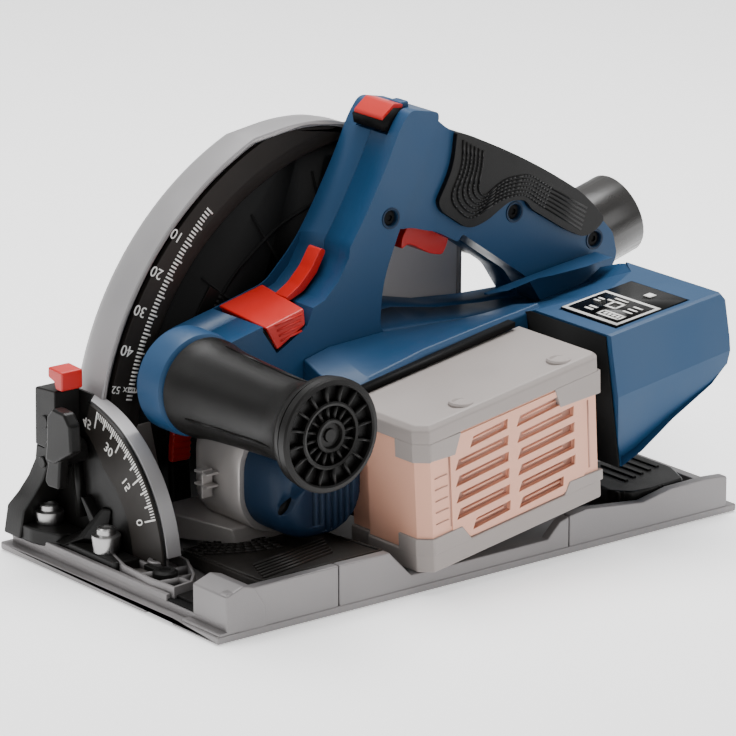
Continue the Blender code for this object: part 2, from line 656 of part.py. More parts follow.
def make_blade(looks):
    outline = []
    pitch = 360 / TOOTH_COUNT
    for tooth in range(TOOTH_COUNT):
        start = tooth * pitch
        outline += arc(SPINDLE, BLADE_RADIUS, start, start + pitch * 0.12, 1)
        outline += arc(SPINDLE, BLADE_RADIUS - 7, start + pitch * 0.2, start + pitch * 0.5, 2)
        outline += arc(SPINDLE, BLADE_RADIUS - 2.5, start + pitch * 0.78, start + pitch * 0.78, 1)[:1]
    half = BLADE_THICKNESS / 2
    blade = prism("saw_blade", outline, "Y", BLADE_PLANE - half, BLADE_PLANE + half)
    cut(blade, rod("blade_bore", SPINDLE, "Y", 50, 80, SPINDLE_RADIUS + GAP))
    return finish(blade, looks["blade"])


def make_controls(looks):
    hook = [
        (31, 149), (37, 157), (46, 158), (63, 147), (61, 140), (57, 134.5), (48, 137), (38, 144), (30, 142),
    ]
    trigger = prism("trigger", rounded(hook, 2, 2), "Y", 14, 30, 1.5)
    pad = [(12, 206), (14.5, 216), (22.5, 222), (34, 222), (35, 216), (26, 213.5), (17, 202.5)]
    button = prism("lock_off_button", rounded(pad, 2, 2), "Y", 9, 36, 1.5)
    cap = [(-68, 117.5), (-68, 127), (-57, 131), (-39, 130.5), (-42, 122), (-46, 113), (-60, 107.5)]
    lever = prism("blade_change_lever", rounded(cap, 2, 2), "Y", 3.5, 41, 1.5)
    tail = [(-44, 127), (-31, 131), (-16, 149), (-12, 158), (-12, 172), (-18, 170), (-27, 152), (-46, 136)]
    join(lever, prism("lever_tail", tail, "Y", 6, 38, 1))
    finish(trigger, looks["red"])
    finish(button, looks["red"])
    finish(lever, looks["red"])
    hang(pivot("trigger_axis", (40, 22, 160)), trigger)
    hang(pivot("lever_axis", (-15, 22, 167)), lever)
    return trigger, button, lever


def make_rear_housing(looks):
    front = [(74.4, 114.7), (78, 90), (80.5, 68.5), (85, 41)]
    outline = [*front, (99, 47.7), (120, 61), (157, 83), (157, 96), (153, 120), (150, 123.4)]
    housing = prism("rear_housing", rounded(outline, 3, 2), "Y", HOUSING_NEAR, BODY_NEAR - GAP, 3)
    cut(housing, prism("rear_hollow", inset(outline, 4), "Y", HOUSING_NEAR + 4, BODY_NEAR + 5))
    board = box("controller_board", (90, -85, 92), (146, -12, 95))
    slope = math.atan2(123.4 - 114.7, 150 - 74.4)
    panel = box("display_panel", (-24, -93, 0), (24, -52, 1.6))
    place = Matrix.Translation((108.5 * MM, 0, (118.7 + GAP) * MM))
    panel.matrix_world = place @ Matrix.Rotation(-slope, 4, "Y")
    return [finish(housing, looks["blue"]), finish(board, looks["board"]), finish(panel, looks["black"])]


def make_battery(looks):
    length, width, height = BATTERY_SIZE
    tilt = math.radians(UNIT_TILT)
    lean = math.radians(UNIT_LEAN)
    columns = ((math.cos(tilt), 0, math.sin(tilt)), (0, 1, 0), (-math.sin(lean), 0, math.cos(lean)))
    frame = Matrix.Translation((BATTERY_CORNER[0] * MM, BATTERY_NEAR * MM, BATTERY_CORNER[1] * MM))
    frame = frame @ Matrix(columns).transposed().to_4x4()
    near_side = [(0, 0), (length - 1, 0), (length, 3), (length, width)]
    plan = [*near_side, (-1.6, width), (-1.6, 50), (-4.5, 47), (-4.5, 8)]
    pieces = []
    layers = (
        ("battery_foot", 0, 13, 0, "battery_grey"),
        ("battery_cells", 13 + GAP, 50, 2, "battery_red"),
        ("battery_top", 50 + GAP, height, 0, "battery_grey"),
    )
    for name, low, high, draw_in, look in layers:
        soften_end = 6 if name == "battery_top" else 0
        layer = prism(name, inset(plan, draw_in) if draw_in else plan, "Z", low, high, soften_end=soften_end)
        layer.data.transform(frame)
        pieces.append(finish(layer, looks[look]))
    dock_plan = [(8, 6), (length - 14, 6), (length - 14, height - 4), (8, height + 8)]
    dock = prism("battery_dock", dock_plan, "Y", 0, -BATTERY_NEAR - width - 2 * GAP)
    dock.data.transform(Matrix.Translation((0, (width + GAP) * MM, 0)) @ frame)
    axis = pivot("battery_rail", (15, BATTERY_NEAR, 60))
    hang(axis, *pieces)
    return axis, finish(dock, looks["black"])


def main():
    global PARTS, CUTTERS
    clear_scene()
    PARTS = new_collection("cordless_plunge_saw")
    CUTTERS = new_collection("cutters")
    looks = {
        "cast": material("cast_aluminium", (0.42, 0.43, 0.44), 0.45, 0.8),
        "guard": material("guard_grey", (0.55, 0.54, 0.54), 0.4, 0.3),
        "scale": material("scale_black", (0.03, 0.03, 0.028), 0.5),
        "black": material("black_plastic", (0.02, 0.02, 0.02), 0.5),
        "rubber": material("black_rubber", (0.018, 0.018, 0.018), 0.65),
        "blue": material("blue_plastic", (0.03, 0.11, 0.26), 0.45),
        "dark_blue": material("dark_blue_plastic", (0.015, 0.035, 0.07), 0.5),
        "red": material("red_plastic", (0.6, 0.03, 0.02), 0.4),
        "steel": material("steel", (0.5, 0.5, 0.5), 0.3, 1.0),
        "blade": material("blade_steel", (0.6, 0.6, 0.6), 0.25, 1.0),
        "copper": material("stator_copper", (0.5, 0.2, 0.08), 0.4, 0.8),
        "board": material("circuit_board", (0.02, 0.12, 0.05), 0.5),
        "battery_grey": material("battery_grey", (0.5, 0.48, 0.46), 0.55),
        "battery_red": material("battery_salmon", (0.75, 0.45, 0.33), 0.55),
    }
    make_base(looks)
    make_brackets(looks)
    make_bevel_controls(looks)
    tilting = [*make_guard(looks), *make_quadrants(looks), *make_dust_port(looks)]
    tilting += [*make_plunge_pivot(looks), *make_depth_stop(looks)]
    bevel = pivot("bevel_axis", (0, *BEVEL_AXIS))
    hang(bevel, *tilting)
    fixed, moving = make_motor(looks)
    idler, spinning, bearings = make_gears(looks)
    spin = pivot("spindle_axis", (SPINDLE[0], BLADE_PLANE, SPINDLE[1]))
    hang(spin, *spinning, make_blade(looks))
    trigger, button, lever = make_controls(looks)
    battery, dock = make_battery(looks)
    plunge = pivot("plunge_axis", (PLUNGE_AXIS[0], 40, PLUNGE_AXIS[1]))
    unit = [*make_gear_case(looks), *make_body(looks), *make_grip(looks)]
    unit += [*make_aux_handle(looks), *make_rear_housing(looks)]
    hang(plunge, *unit, *fixed, *bearings, button, dock)
    hang(plunge, moving[0].parent, idler.parent, spin, trigger.parent, lever.parent, battery)
    hang(bevel, plunge)


main()
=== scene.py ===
"""Looks for the cordless plunge saw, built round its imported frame. Sizes are millimetres, scaled by MM."""
import math

import bmesh
import bpy
from mathutils import Matrix, Vector


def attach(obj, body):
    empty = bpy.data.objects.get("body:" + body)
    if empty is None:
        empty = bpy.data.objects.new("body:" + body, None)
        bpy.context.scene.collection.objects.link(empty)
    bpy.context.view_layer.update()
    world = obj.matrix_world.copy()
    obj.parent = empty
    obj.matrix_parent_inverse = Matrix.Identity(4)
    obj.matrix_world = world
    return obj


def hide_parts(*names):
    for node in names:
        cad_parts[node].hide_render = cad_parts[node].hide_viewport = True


MM = 0.001
GUARD_CENTRE = (34.0, 49.0)
PLUNGE = (60.0, 40.0)
BEVEL = (60.0, 10.0)
SPINDLE = (-38.0, 18.0)
MOTOR = (-71.0, 50.0)
AUX = (-107.0, 97.5)
GLOSS_SPREAD = 0.1
NUMERAL_DEPTH = 0.25
GUARD_RADIUS = 170.5
GUARD_REAR = 97.5

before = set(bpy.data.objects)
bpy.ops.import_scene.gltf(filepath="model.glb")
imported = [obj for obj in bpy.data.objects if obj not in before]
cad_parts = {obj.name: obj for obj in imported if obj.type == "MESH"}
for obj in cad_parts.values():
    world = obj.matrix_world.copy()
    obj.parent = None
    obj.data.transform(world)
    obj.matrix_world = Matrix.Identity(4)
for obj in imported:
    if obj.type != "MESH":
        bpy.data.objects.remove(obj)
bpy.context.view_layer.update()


# Materials


def rgb(code):
    """A hex display colour as linear values."""
    values = [int(code[i:i + 2], 16) / 255 for i in (0, 2, 4)]
    return tuple(v / 12.92 if v <= 0.04045 else ((v + 0.055) / 1.055) ** 2.4 for v in values)


def material(name, code, roughness=0.5, metallic=0.0, grain=1400.0, bump=0.12, mottle=0.12, stretch=None,
    coat=0.0, shine=0.5):
    """A surface with fine grain, uneven gloss and slow changes of shade."""
    made = bpy.data.materials.new(name)
    made.use_nodes = True
    nodes = made.node_tree.nodes
    links = made.node_tree.links
    shader = nodes["Principled BSDF"]
    shader.inputs["Metallic"].default_value = metallic
    shader.inputs["Coat Weight"].default_value = coat
    place = nodes.new("ShaderNodeTexCoord")
    mapping = nodes.new("ShaderNodeMapping")
    links.new(place.outputs["Object"], mapping.inputs["Vector"])
    if stretch:
        mapping.inputs["Scale"].default_value = stretch
    fine = nodes.new("ShaderNodeTexNoise")
    fine.inputs["Scale"].default_value = grain
    fine.inputs["Detail"].default_value = 3
    links.new(mapping.outputs["Vector"], fine.inputs["Vector"])
    slow = nodes.new("ShaderNodeTexNoise")
    slow.inputs["Scale"].default_value = 28
    slow.inputs["Detail"].default_value = 5
    links.new(place.outputs["Object"], slow.inputs["Vector"])
    shade = nodes.new("ShaderNodeMixRGB")
    shade.blend_type = "MIX"
    colour = rgb(code)
    shader.inputs["Specular IOR Level"].default_value = shine
    shade.inputs["Color1"].default_value = (*[c * (1 - mottle) for c in colour], 1)
    shade.inputs["Color2"].default_value = (*[min(1, c * (1 + mottle)) for c in colour], 1)
    links.new(slow.outputs["Fac"], shade.inputs["Fac"])
    links.new(shade.outputs["Color"], shader.inputs["Base Color"])
    gloss = nodes.new("ShaderNodeMapRange")
    gloss.inputs["From Min"].default_value = 0.3
    gloss.inputs["From Max"].default_value = 0.7
    gloss.inputs["To Min"].default_value = max(0.05, roughness - GLOSS_SPREAD)
    gloss.inputs["To Max"].default_value = min(1, roughness + GLOSS_SPREAD)
    links.new(slow.outputs["Fac"], gloss.inputs["Value"])
    links.new(gloss.outputs["Result"], shader.inputs["Roughness"])
    relief = nodes.new("ShaderNodeBump")
    relief.inputs["Strength"].default_value = bump
    relief.inputs["Distance"].default_value = 0.0004
    links.new(fine.outputs["Fac"], relief.inputs["Height"])
    links.new(relief.outputs["Normal"], shader.inputs["Normal"])
    return made


BLUE = material("blue_plastic", "1b4062", 0.42, bump=0.12, mottle=0.07, shine=0.3)
# Darker blue: the motor cover's colour, and painted shade on the walls of the screw wells.
NAVY_AND_WELL_SHADE = material("dark_blue_plastic", "13283f", 0.5, bump=0.14, shine=0.25)
BLACK = material("black_plastic", "100f0e", 0.4, bump=0.16, mottle=0.2, shine=0.22)
# Near-black painted shade, put in gaps, slots, wells, recesses and behind parts.
SHADE_BLACK = material("painted_shade_black", "060606", 0.6, bump=0.1, mottle=0.2, shine=0.15)
SCALE = material("scale_black", "231f1c", 0.55, bump=0.05, mottle=0.15, shine=0.25)
RUBBER = material("rubber", "0d0c0b", 0.36, bump=0.3, grain=2600, mottle=0.2, shine=0.22)
RED = material("red_plastic", "c21a13", 0.38, bump=0.05, mottle=0.06, coat=0.1)
GREY = material("guard_grey", "9b999a", 0.42, 0.35, grain=1800, bump=0.12, mottle=0.05)
# A lighter copy of the guard grey: painted light on the guard's rear panel, which sits in shadow.
PAINTED_LIGHT_GREY = material("guard_grey_painted_light", "d2cdcc", 0.5, 0.1, grain=1800, bump=0.1, mottle=0.05)
TRAY = material("tray_plastic", "211e1b", 0.5, bump=0.2, mottle=0.2, shine=0.3)
PIPE = material("duct_plastic", "1b1917", 0.3, bump=0.1, mottle=0.15, shine=0.6)
CAST = material("cast_metal", "7f7c7c", 0.42, 0.45, grain=1100, bump=0.16, mottle=0.07)
BELL = material("gear_case_metal", "b3aeab", 0.38, 0.35, grain=900, bump=0.12, mottle=0.08)
DARK_CAST = material("cast_gear_case", "8f8a87", 0.4, 0.75, grain=1000, bump=0.22, mottle=0.12)
STEEL = material("steel", "a8a7a6", 0.3, 1.0, grain=900, bump=0.08, mottle=0.1, stretch=(1, 8, 1))
BLADE = material("blade_steel", "b9b8b6", 0.25, 1.0, grain=700, bump=0.06, mottle=0.08, stretch=(6, 1, 1))
COPPER = material("copper_wire", "b06a3c", 0.35, 0.9, grain=500, bump=0.4, stretch=(1, 12, 1))
BOARD = material("circuit_board", "1f5a34", 0.4, bump=0.1)
PACK_GREY = material("battery_grey", "968e8a", 0.55, bump=0.14, mottle=0.05)
PACK_RED = material("battery_salmon", "e3aa91", 0.55, bump=0.14, mottle=0.05)
# Darker salmon: painted shade on the floors of the battery's slots, and the pack's dark seam lines.
PACK_SHADE_AND_SEAMS = material("battery_slot_shade_and_seams", "b48a7b", 0.6, bump=0.14, mottle=0.12)
WHITE = material("white_print", "e8e6e2", 0.6, bump=0.02, mottle=0.03)
GLASS = material("display_glass", "080808", 0.2, bump=0.01, mottle=0.1, shine=0.2)


# Shapes


def rounded(points, radius, steps=5):
    made = []
    count = len(points)
    for i, here in enumerate(points):
        reach_limit = radius[i] if isinstance(radius, (list, tuple)) else radius
        corner = Vector(here)
        before = Vector(points[i - 1]) - corner
        after = Vector(points[(i + 1) % count]) - corner
        reach = min(reach_limit, before.length * 0.48, after.length * 0.48)
        if reach < 0.05:
            made.append(tuple(here))
            continue
        first = corner + before.normalized() * reach
        last = corner + after.normalized() * reach
        for k in range(steps + 1):
            t = k / steps
            made.append(tuple(first * (1 - t) ** 2 + corner * 2 * t * (1 - t) + last * t**2))
    return made


def arc(centre, radius, start, end, steps):
    turns = [math.radians(start + (end - start) * i / steps) for i in range(steps + 1)]
    return [(centre[0] + radius * math.cos(t), centre[1] + radius * math.sin(t)) for t in turns]


def inset(points, distance):
    area = sum(a[0] * b[1] - b[0] * a[1] for a, b in zip(points, points[1:] + points[:1]))
    side = 1 if area > 0 else -1
    made = []
    for i, here in enumerate(points):
        before = (Vector(here) - Vector(points[i - 1])).normalized()
        after = (Vector(points[(i + 1) % len(points)]) - Vector(here)).normalized()
        first = Vector((-before.y, before.x)) * side
        second = Vector((-after.y, after.x)) * side
        middle = (first + second).normalized()
        made.append(tuple(Vector(here) + middle * distance / max(middle.dot(first), 0.4)))
    return made


def to_world(a, b, h, axis):
    return {"X": (h, a, b), "Y": (a, h, b), "Z": (a, b, h)}[axis]


def new_object(name, work, look):
    """The finished bmesh, in millimetres, as an object in metres."""
    bmesh.ops.recalc_face_normals(work, faces=work.faces)
    mesh = bpy.data.meshes.new(name)
    bmesh.ops.scale(work, vec=(MM, MM, MM), verts=work.verts)
    work.to_mesh(mesh)
    work.free()
    obj = bpy.data.objects.new(name, mesh)
    bpy.context.scene.collection.objects.link(obj)
    mesh.materials.append(look)
    mesh.shade_smooth()
    return obj


def loft(name, sections, look, crease=None):
    """Skin over sections of (x, y, z) with equal counts; a crease joins two points of the last one."""
    work = bmesh.new()
    rows = [[work.verts.new(p) for p in section] for section in sections]
    count = len(rows[0])
    for low, high in zip(rows, rows[1:]):
        for i in range(count):
            work.faces.new((low[i], low[(i + 1) % count], high[(i + 1) % count], high[i]))
    work.faces.new(rows[0])
    last = work.faces.new(rows[-1])
    if crease:
        bmesh.utils.face_split(last, rows[-1][crease[0]], rows[-1][crease[1]])
    return new_object(name, work, look)


def open_path(points, radius=6, steps=5):
    """A path through corners that are rounded, with its ends kept."""
    closed = rounded([*points, points[0]], [0, *[radius] * (len(points) - 2), 0, 0], steps)
    return closed[:-1]


def ribbon(path, width, low, high, axis, look):
    """Short straight strips that follow a path."""
    return [bar(a, b, width, low, high, axis, look) for a, b in zip(path, path[1:])
        if (Vector(a) - Vector(b)).length > 0.05]


def prism(name, outline, axis, low, high, look, soften=0.6, segments=2):
    sections = [[to_world(a, b, h, axis) for a, b in outline] for h in (low, high)]
    obj = loft(name, sections, look)
    if soften:
        bevel(obj, soften, segments)
    return obj


def bevel(obj, width, segments=2, angle=35):
    step = obj.modifiers.new("Bevel", "BEVEL")
    step.width = width * MM
    step.segments = segments
    step.limit_method = "ANGLE"
    step.angle_limit = math.radians(angle)
    step.harden_normals = True
    return obj


def box(name, low, high, look, soften=0.6, segments=2):
    outline = [(low[0], low[1]), (high[0], low[1]), (high[0], high[1]), (low[0], high[1])]
    return prism(name, outline, "Z", low[2], high[2], look, soften, segments)


def lathe(name, profile, centre, axis, look, sides=72):
    """A profile of (radius, place along the axis) turned about an axis through the centre."""
    work = bmesh.new()
    rings = []
    for radius, h in profile:
        if radius < 0.01:
            rings.append([work.verts.new(to_world(*centre, h, axis))])
            continue
        rings.append([work.verts.new(to_world(a, b, h, axis)) for a,
            b in arc(centre, radius, 0, 360 - 360 / sides, sides - 1)])
    for low, high in zip(rings, rings[1:]):
        for i in range(sides):
            pair = [low[i % len(low)], low[(i + 1) % len(low)], high[(i + 1) % len(high)],
                high[i % len(high)]]
            face = list(dict.fromkeys(pair))
            if len(face) > 2:
                work.faces.new(face)
    obj = new_object(name, work, look)
    sharp(obj)
    return obj


def sharp(obj, angle=32):
    obj.data.set_sharp_from_angle(angle=math.radians(angle))
    return obj


def cut(obj, *tools, join=False):
    """Boolean before any bevel, then the tools are removed."""
    for tool in tools:
        step = obj.modifiers.new("Cut", "BOOLEAN")
        step.object = tool
        step.operation = "UNION" if join else "DIFFERENCE"
        step.solver = "EXACT"
        obj.modifiers.move(len(obj.modifiers) - 1, 0)
        graph = bpy.context.evaluated_depsgraph_get()
        held = [m for m in obj.modifiers if m.type == "BEVEL"]
        for m in held:
            m.show_viewport = False
        graph.update()
        mesh = bpy.data.meshes.new_from_object(obj.evaluated_get(graph))
        for m in held:
            m.show_viewport = True
        obj.modifiers.remove(obj.modifiers[0])
        obj.data = mesh
        bpy.data.objects.remove(tool)
    return obj


def bake(obj):
    """Turns the modifiers into mesh."""
    graph = bpy.context.evaluated_depsgraph_get()
    graph.update()
    mesh = bpy.data.meshes.new_from_object(obj.evaluated_get(graph))
    obj.modifiers.clear()
    obj.data = mesh
    return obj


def merge(name, objects):
    """Several meshes as one object."""
    work = bmesh.new()
    looks = []
    for obj in objects:
        bake(obj)
        for look in obj.data.materials:
            if look not in looks:
                looks.append(look)
        start = len(work.faces)
        work.from_mesh(obj.data)
        work.faces.ensure_lookup_table()
        slots = [looks.index(look) for look in obj.data.materials]
        for face in work.faces[start:]:
            face.material_index = slots[min(face.material_index, len(slots) - 1)]
    mesh = bpy.data.meshes.new(name)
    work.to_mesh(mesh)
    work.free()
    made = bpy.data.objects.new(name, mesh)
    bpy.context.scene.collection.objects.link(made)
    for look in looks:
        mesh.materials.append(look)
    for obj in objects:
        bpy.data.objects.remove(obj)
    return made


def rod(name, centre, axis, low, high, radius, look, edge=0.4, sides=40):
    profile = [(0, low), (radius - edge, low), (radius, low + edge), (radius, high - edge),
        (radius - edge, high), (0, high)]
    return lathe(name, profile, centre, axis, look, sides)


def text(name, words, size, origin, right, up, look):
    """Numerals laid on a face: origin is the lower left corner, right and up its directions."""
    curve = bpy.data.curves.new(name, "FONT")
    curve.body = words
    curve.size = size * MM
    curve.extrude = NUMERAL_DEPTH / 2 * MM
    curve.resolution_u = 3
    obj = bpy.data.objects.new(name, curve)
    bpy.context.scene.collection.objects.link(obj)
    graph = bpy.context.evaluated_depsgraph_get()
    mesh = bpy.data.meshes.new_from_object(obj.evaluated_get(graph))
    bpy.data.objects.remove(obj)
    x_way = Vector(right).normalized()
    y_way = Vector(up).normalized()
    z_way = x_way.cross(y_way)
    turn = Matrix((x_way, y_way, z_way)).transposed().to_4x4()
    mesh.transform(Matrix.Translation(Vector(origin) * MM) @ turn)
    made = bpy.data.objects.new(name, mesh)
    bpy.context.scene.collection.objects.link(made)
    mesh.materials.clear()
    mesh.materials.append(look)
    return made


def bar(start, end, width, low, high, axis, look):
    """A straight strip between two points of a plane, from low to high along the axis."""
    a = Vector(start)
    b = Vector(end)
    side = (b - a).normalized().orthogonal() * width / 2
    corners = [tuple(a + side), tuple(b + side), tuple(b - side), tuple(a - side)]
    return prism("bar", corners, axis, low, high, look, 0)


def on(body, obj, *nodes):
    """The piece rides on a body and stands for CAD nodes."""
    bake(obj)
    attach(obj, body)
    if nodes:
        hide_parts(*nodes)
    return obj


def rounded_square(centre, half_x, half_z, corner, steps=8):
    points = [(centre[0] - half_x, centre[1] - half_z), (centre[0] + half_x, centre[1] - half_z),
              (centre[0] + half_x, centre[1] + half_z), (centre[0] - half_x, centre[1] + half_z)]
    made = []
    for (x, z), (sx, sz), start in zip(points, ((1, 1), (-1, 1), (-1, -1), (1, -1)), (180, 270, 0, 90)):
        made += arc((x + sx * corner, z + sz * corner), corner, start, start + 90, steps)
    return made


# Base


def make_base():
    lip = box("lip", (-169, -93.2, 0), (169, 93.2, 4), CAST, 0.8)
    deck = box("deck", (-163.5, -90, 3), (163, 90, 8), CAST, 0.6)
    holes = (((-122, 46, -2), (122, 83, 10)), ((-84, 5, -2), (-12, 50, 10)),
        ((-159, 50, 2.2), (153, 70.5, 10)),
             ((-170, -55, -1), (170, -33, 3.1)))
    for piece in (lip, deck):
        cut(piece, *[box("hole", low, high, CAST, 0) for low, high in holes])
    pieces = [lip, deck]
    walls = ([(-163, 3), (-163, 25), (-94, 25), (-94, 3)],
             [(-93.5, 3), (-93.5, 25), (-62, 25), (-48, 10.5), (41, 10.5), (49, 18.2), (55, 20), (55, 3)],
             [(55.5, 3), (55.5, 20.2), (67, 21.6), (91, 19), (105, 17.4), (124, 21), (149, 21.4), (162, 20.4),
             (163, 19.4), (163, 3)])
    for wall in walls:
        pieces.append(prism("wall", wall, "Y", -92.6, -87, CAST, 0.8, 3))
    pieces += [
        prism("block", [(-163.4, 3.8), (-163.4, 23.4), (-153, 27), (-146, 25), (-139, 14), (-139, 3)], "Y",
        -92.9, -65, CAST, 0.9, 3),
        box("back", (157, -89, 4), (162.6, 88, 15), CAST, 0.8),
        box("foot_step", (-168, -93, 3.6), (-158, -62, 5.4), CAST, 0.7),
        box("front_rail", (-163.4, -43, 6), (-160.6, 91, 11.4), CAST, 0.6),
        # The near-black rail_dark box and the black rail_shade strip are painted shade beside the front rail.
        box("rail_dark", (-162.6, -64.6, 4.4), (-150, -43.4, 9), SHADE_BLACK, 0.3),
        box("rail_shade", (-158, -64.6, 8.6), (-140, -30, 10.4), BLACK, 0.3),
    ]
    rim = [(-152, 22), (-146, 28), (-125, 23.5), (-129, -15), (-139, -34), (-147, -43), (-160, -45),
        (-161.5, -26), (-160, -2)]
    edge = prism("rim", rim, "Z", 8, 15, CAST, 0)
    cut(edge, prism("hollow", inset(rim, 1.5), "Z", 9, 20, CAST, 0))
    bevel(edge, 0.4, 2)
    pieces.append(edge)
    pieces.append(prism("rim_floor", inset(rim, 1.7), "Z", 8.5, 9.6, DARK_CAST, 0))
    for a, b in (((-160, -14), (-131, -20)), ((-146, 27), (-146, -40)), ((-158, -30), (-137, -31)),
        ((-153, 4), (-129, 2))):
        pieces.append(bar(a, b, 1.6, 9, 13.6, "Z", CAST))
    for x, y, top, radius in ((-143.5, -9, 16.5, 5.4), (-152.5, -22, 14.8, 3.4), (-137, 14, 14, 3)):
        profile = [(0, top - 1.6), (radius * 0.45, top - 1.6), (radius * 0.5, top), (radius * 0.9, top),
            (radius, top - 0.6), (radius, 8), (0, 8)]
        pieces.append(lathe("boss", profile, (x, y), "Z", CAST, 32))
    on("base", merge("base_casting", pieces), "base_plate")


def slope(y):
    """Height of the tray's sloping top."""
    return 23.8 - (y + 86.3) * 0.1235


def tray_bar(start, end, width, low, high):
    """A straight strip that follows the tray's slope."""
    side = (Vector(end) - Vector(start)).normalized().orthogonal() * width / 2
    sections = []
    for place in (Vector(start), Vector(end)):
        a, b = place + side, place - side
        sections.append([(a.x, a.y, slope(a.y) + low), (b.x, b.y, slope(b.y) + low),
            (b.x, b.y, slope(b.y) + high), (a.x, a.y, slope(a.y) + high)])
    return loft("strip", sections, TRAY)


def make_tray():
    outline = rounded([(-137.2, -86.4), (-59, -86), (-47, 3), (-64, 3.5), (-79, 12), (-120, 4.5)], 2.5)
    tray = loft("tray", [[(x, y, 8.5) for x, y in outline], [(x, y, slope(y)) for x, y in outline]], TRAY)
    pieces = [bevel(tray, 0.8, 2)]
    corners = [(-135.5, -84.6), (-60.6, -84.2), (-49, 1.4), (-64, 2), (-79, 10), (-118.6, 3.4)]
    for a, b in zip(corners, corners[1:] + corners[:1]):
        pieces.append(tray_bar(a, b, 1.1, -0.4, 0.9))
    for number in range(7):
        radius = 17 + number * 5.4
        path = arc((-76, 14), radius, 188, 262, 12)
        for a, b in zip(path, path[1:]):
            if a[1] < 3 and b[1] < 3:
                pieces.append(tray_bar(a, b, 2.6 if number % 2 else 1.3, -0.3, 1.7 - number * 0.12))
    for number in range(6):
        start = (-131 + number * 2.5, -80 + number * 5)
        end = (-78 + number * 3, -66 + number * 5.2)
        pieces.append(tray_bar(start, end, 1.5, -0.3, 1.1))
    on("base", merge("tray_cover", pieces), "deck_tray")
    outline = rounded([(96, -76), (104, -85), (116, -86.5), (140, -84), (148, -66), (148, -36), (104, -34)],
        2.5)
    pieces = [prism("housing", outline, "Z", 8.4, 21.5, BLACK, 1.2)]
    steps = 15
    rim = [((98 + i * 2.9), -80 - 6 * math.sin(math.pi * min(1, (i + 1) / 9) / 2) + max(0, i - 9) * 1.1)
        for i in range(steps)]
    for x, y in rim:
        pieces.append(box("rib", (x, y, 9), (x + 1.5, y + 8, 21.2), BLACK, 0.35))
    for i in range(5):
        pieces.append(box("slat", (112 + i * 7, -70 + i * 2, 21), (114.6 + i * 7, -42, 22.4), BLACK, 0.4))
    on("base", merge("rear_cover", pieces), "rear_deck_box")


def scale_turn(degree):
    return math.radians(158.3 - 1.155 * degree)


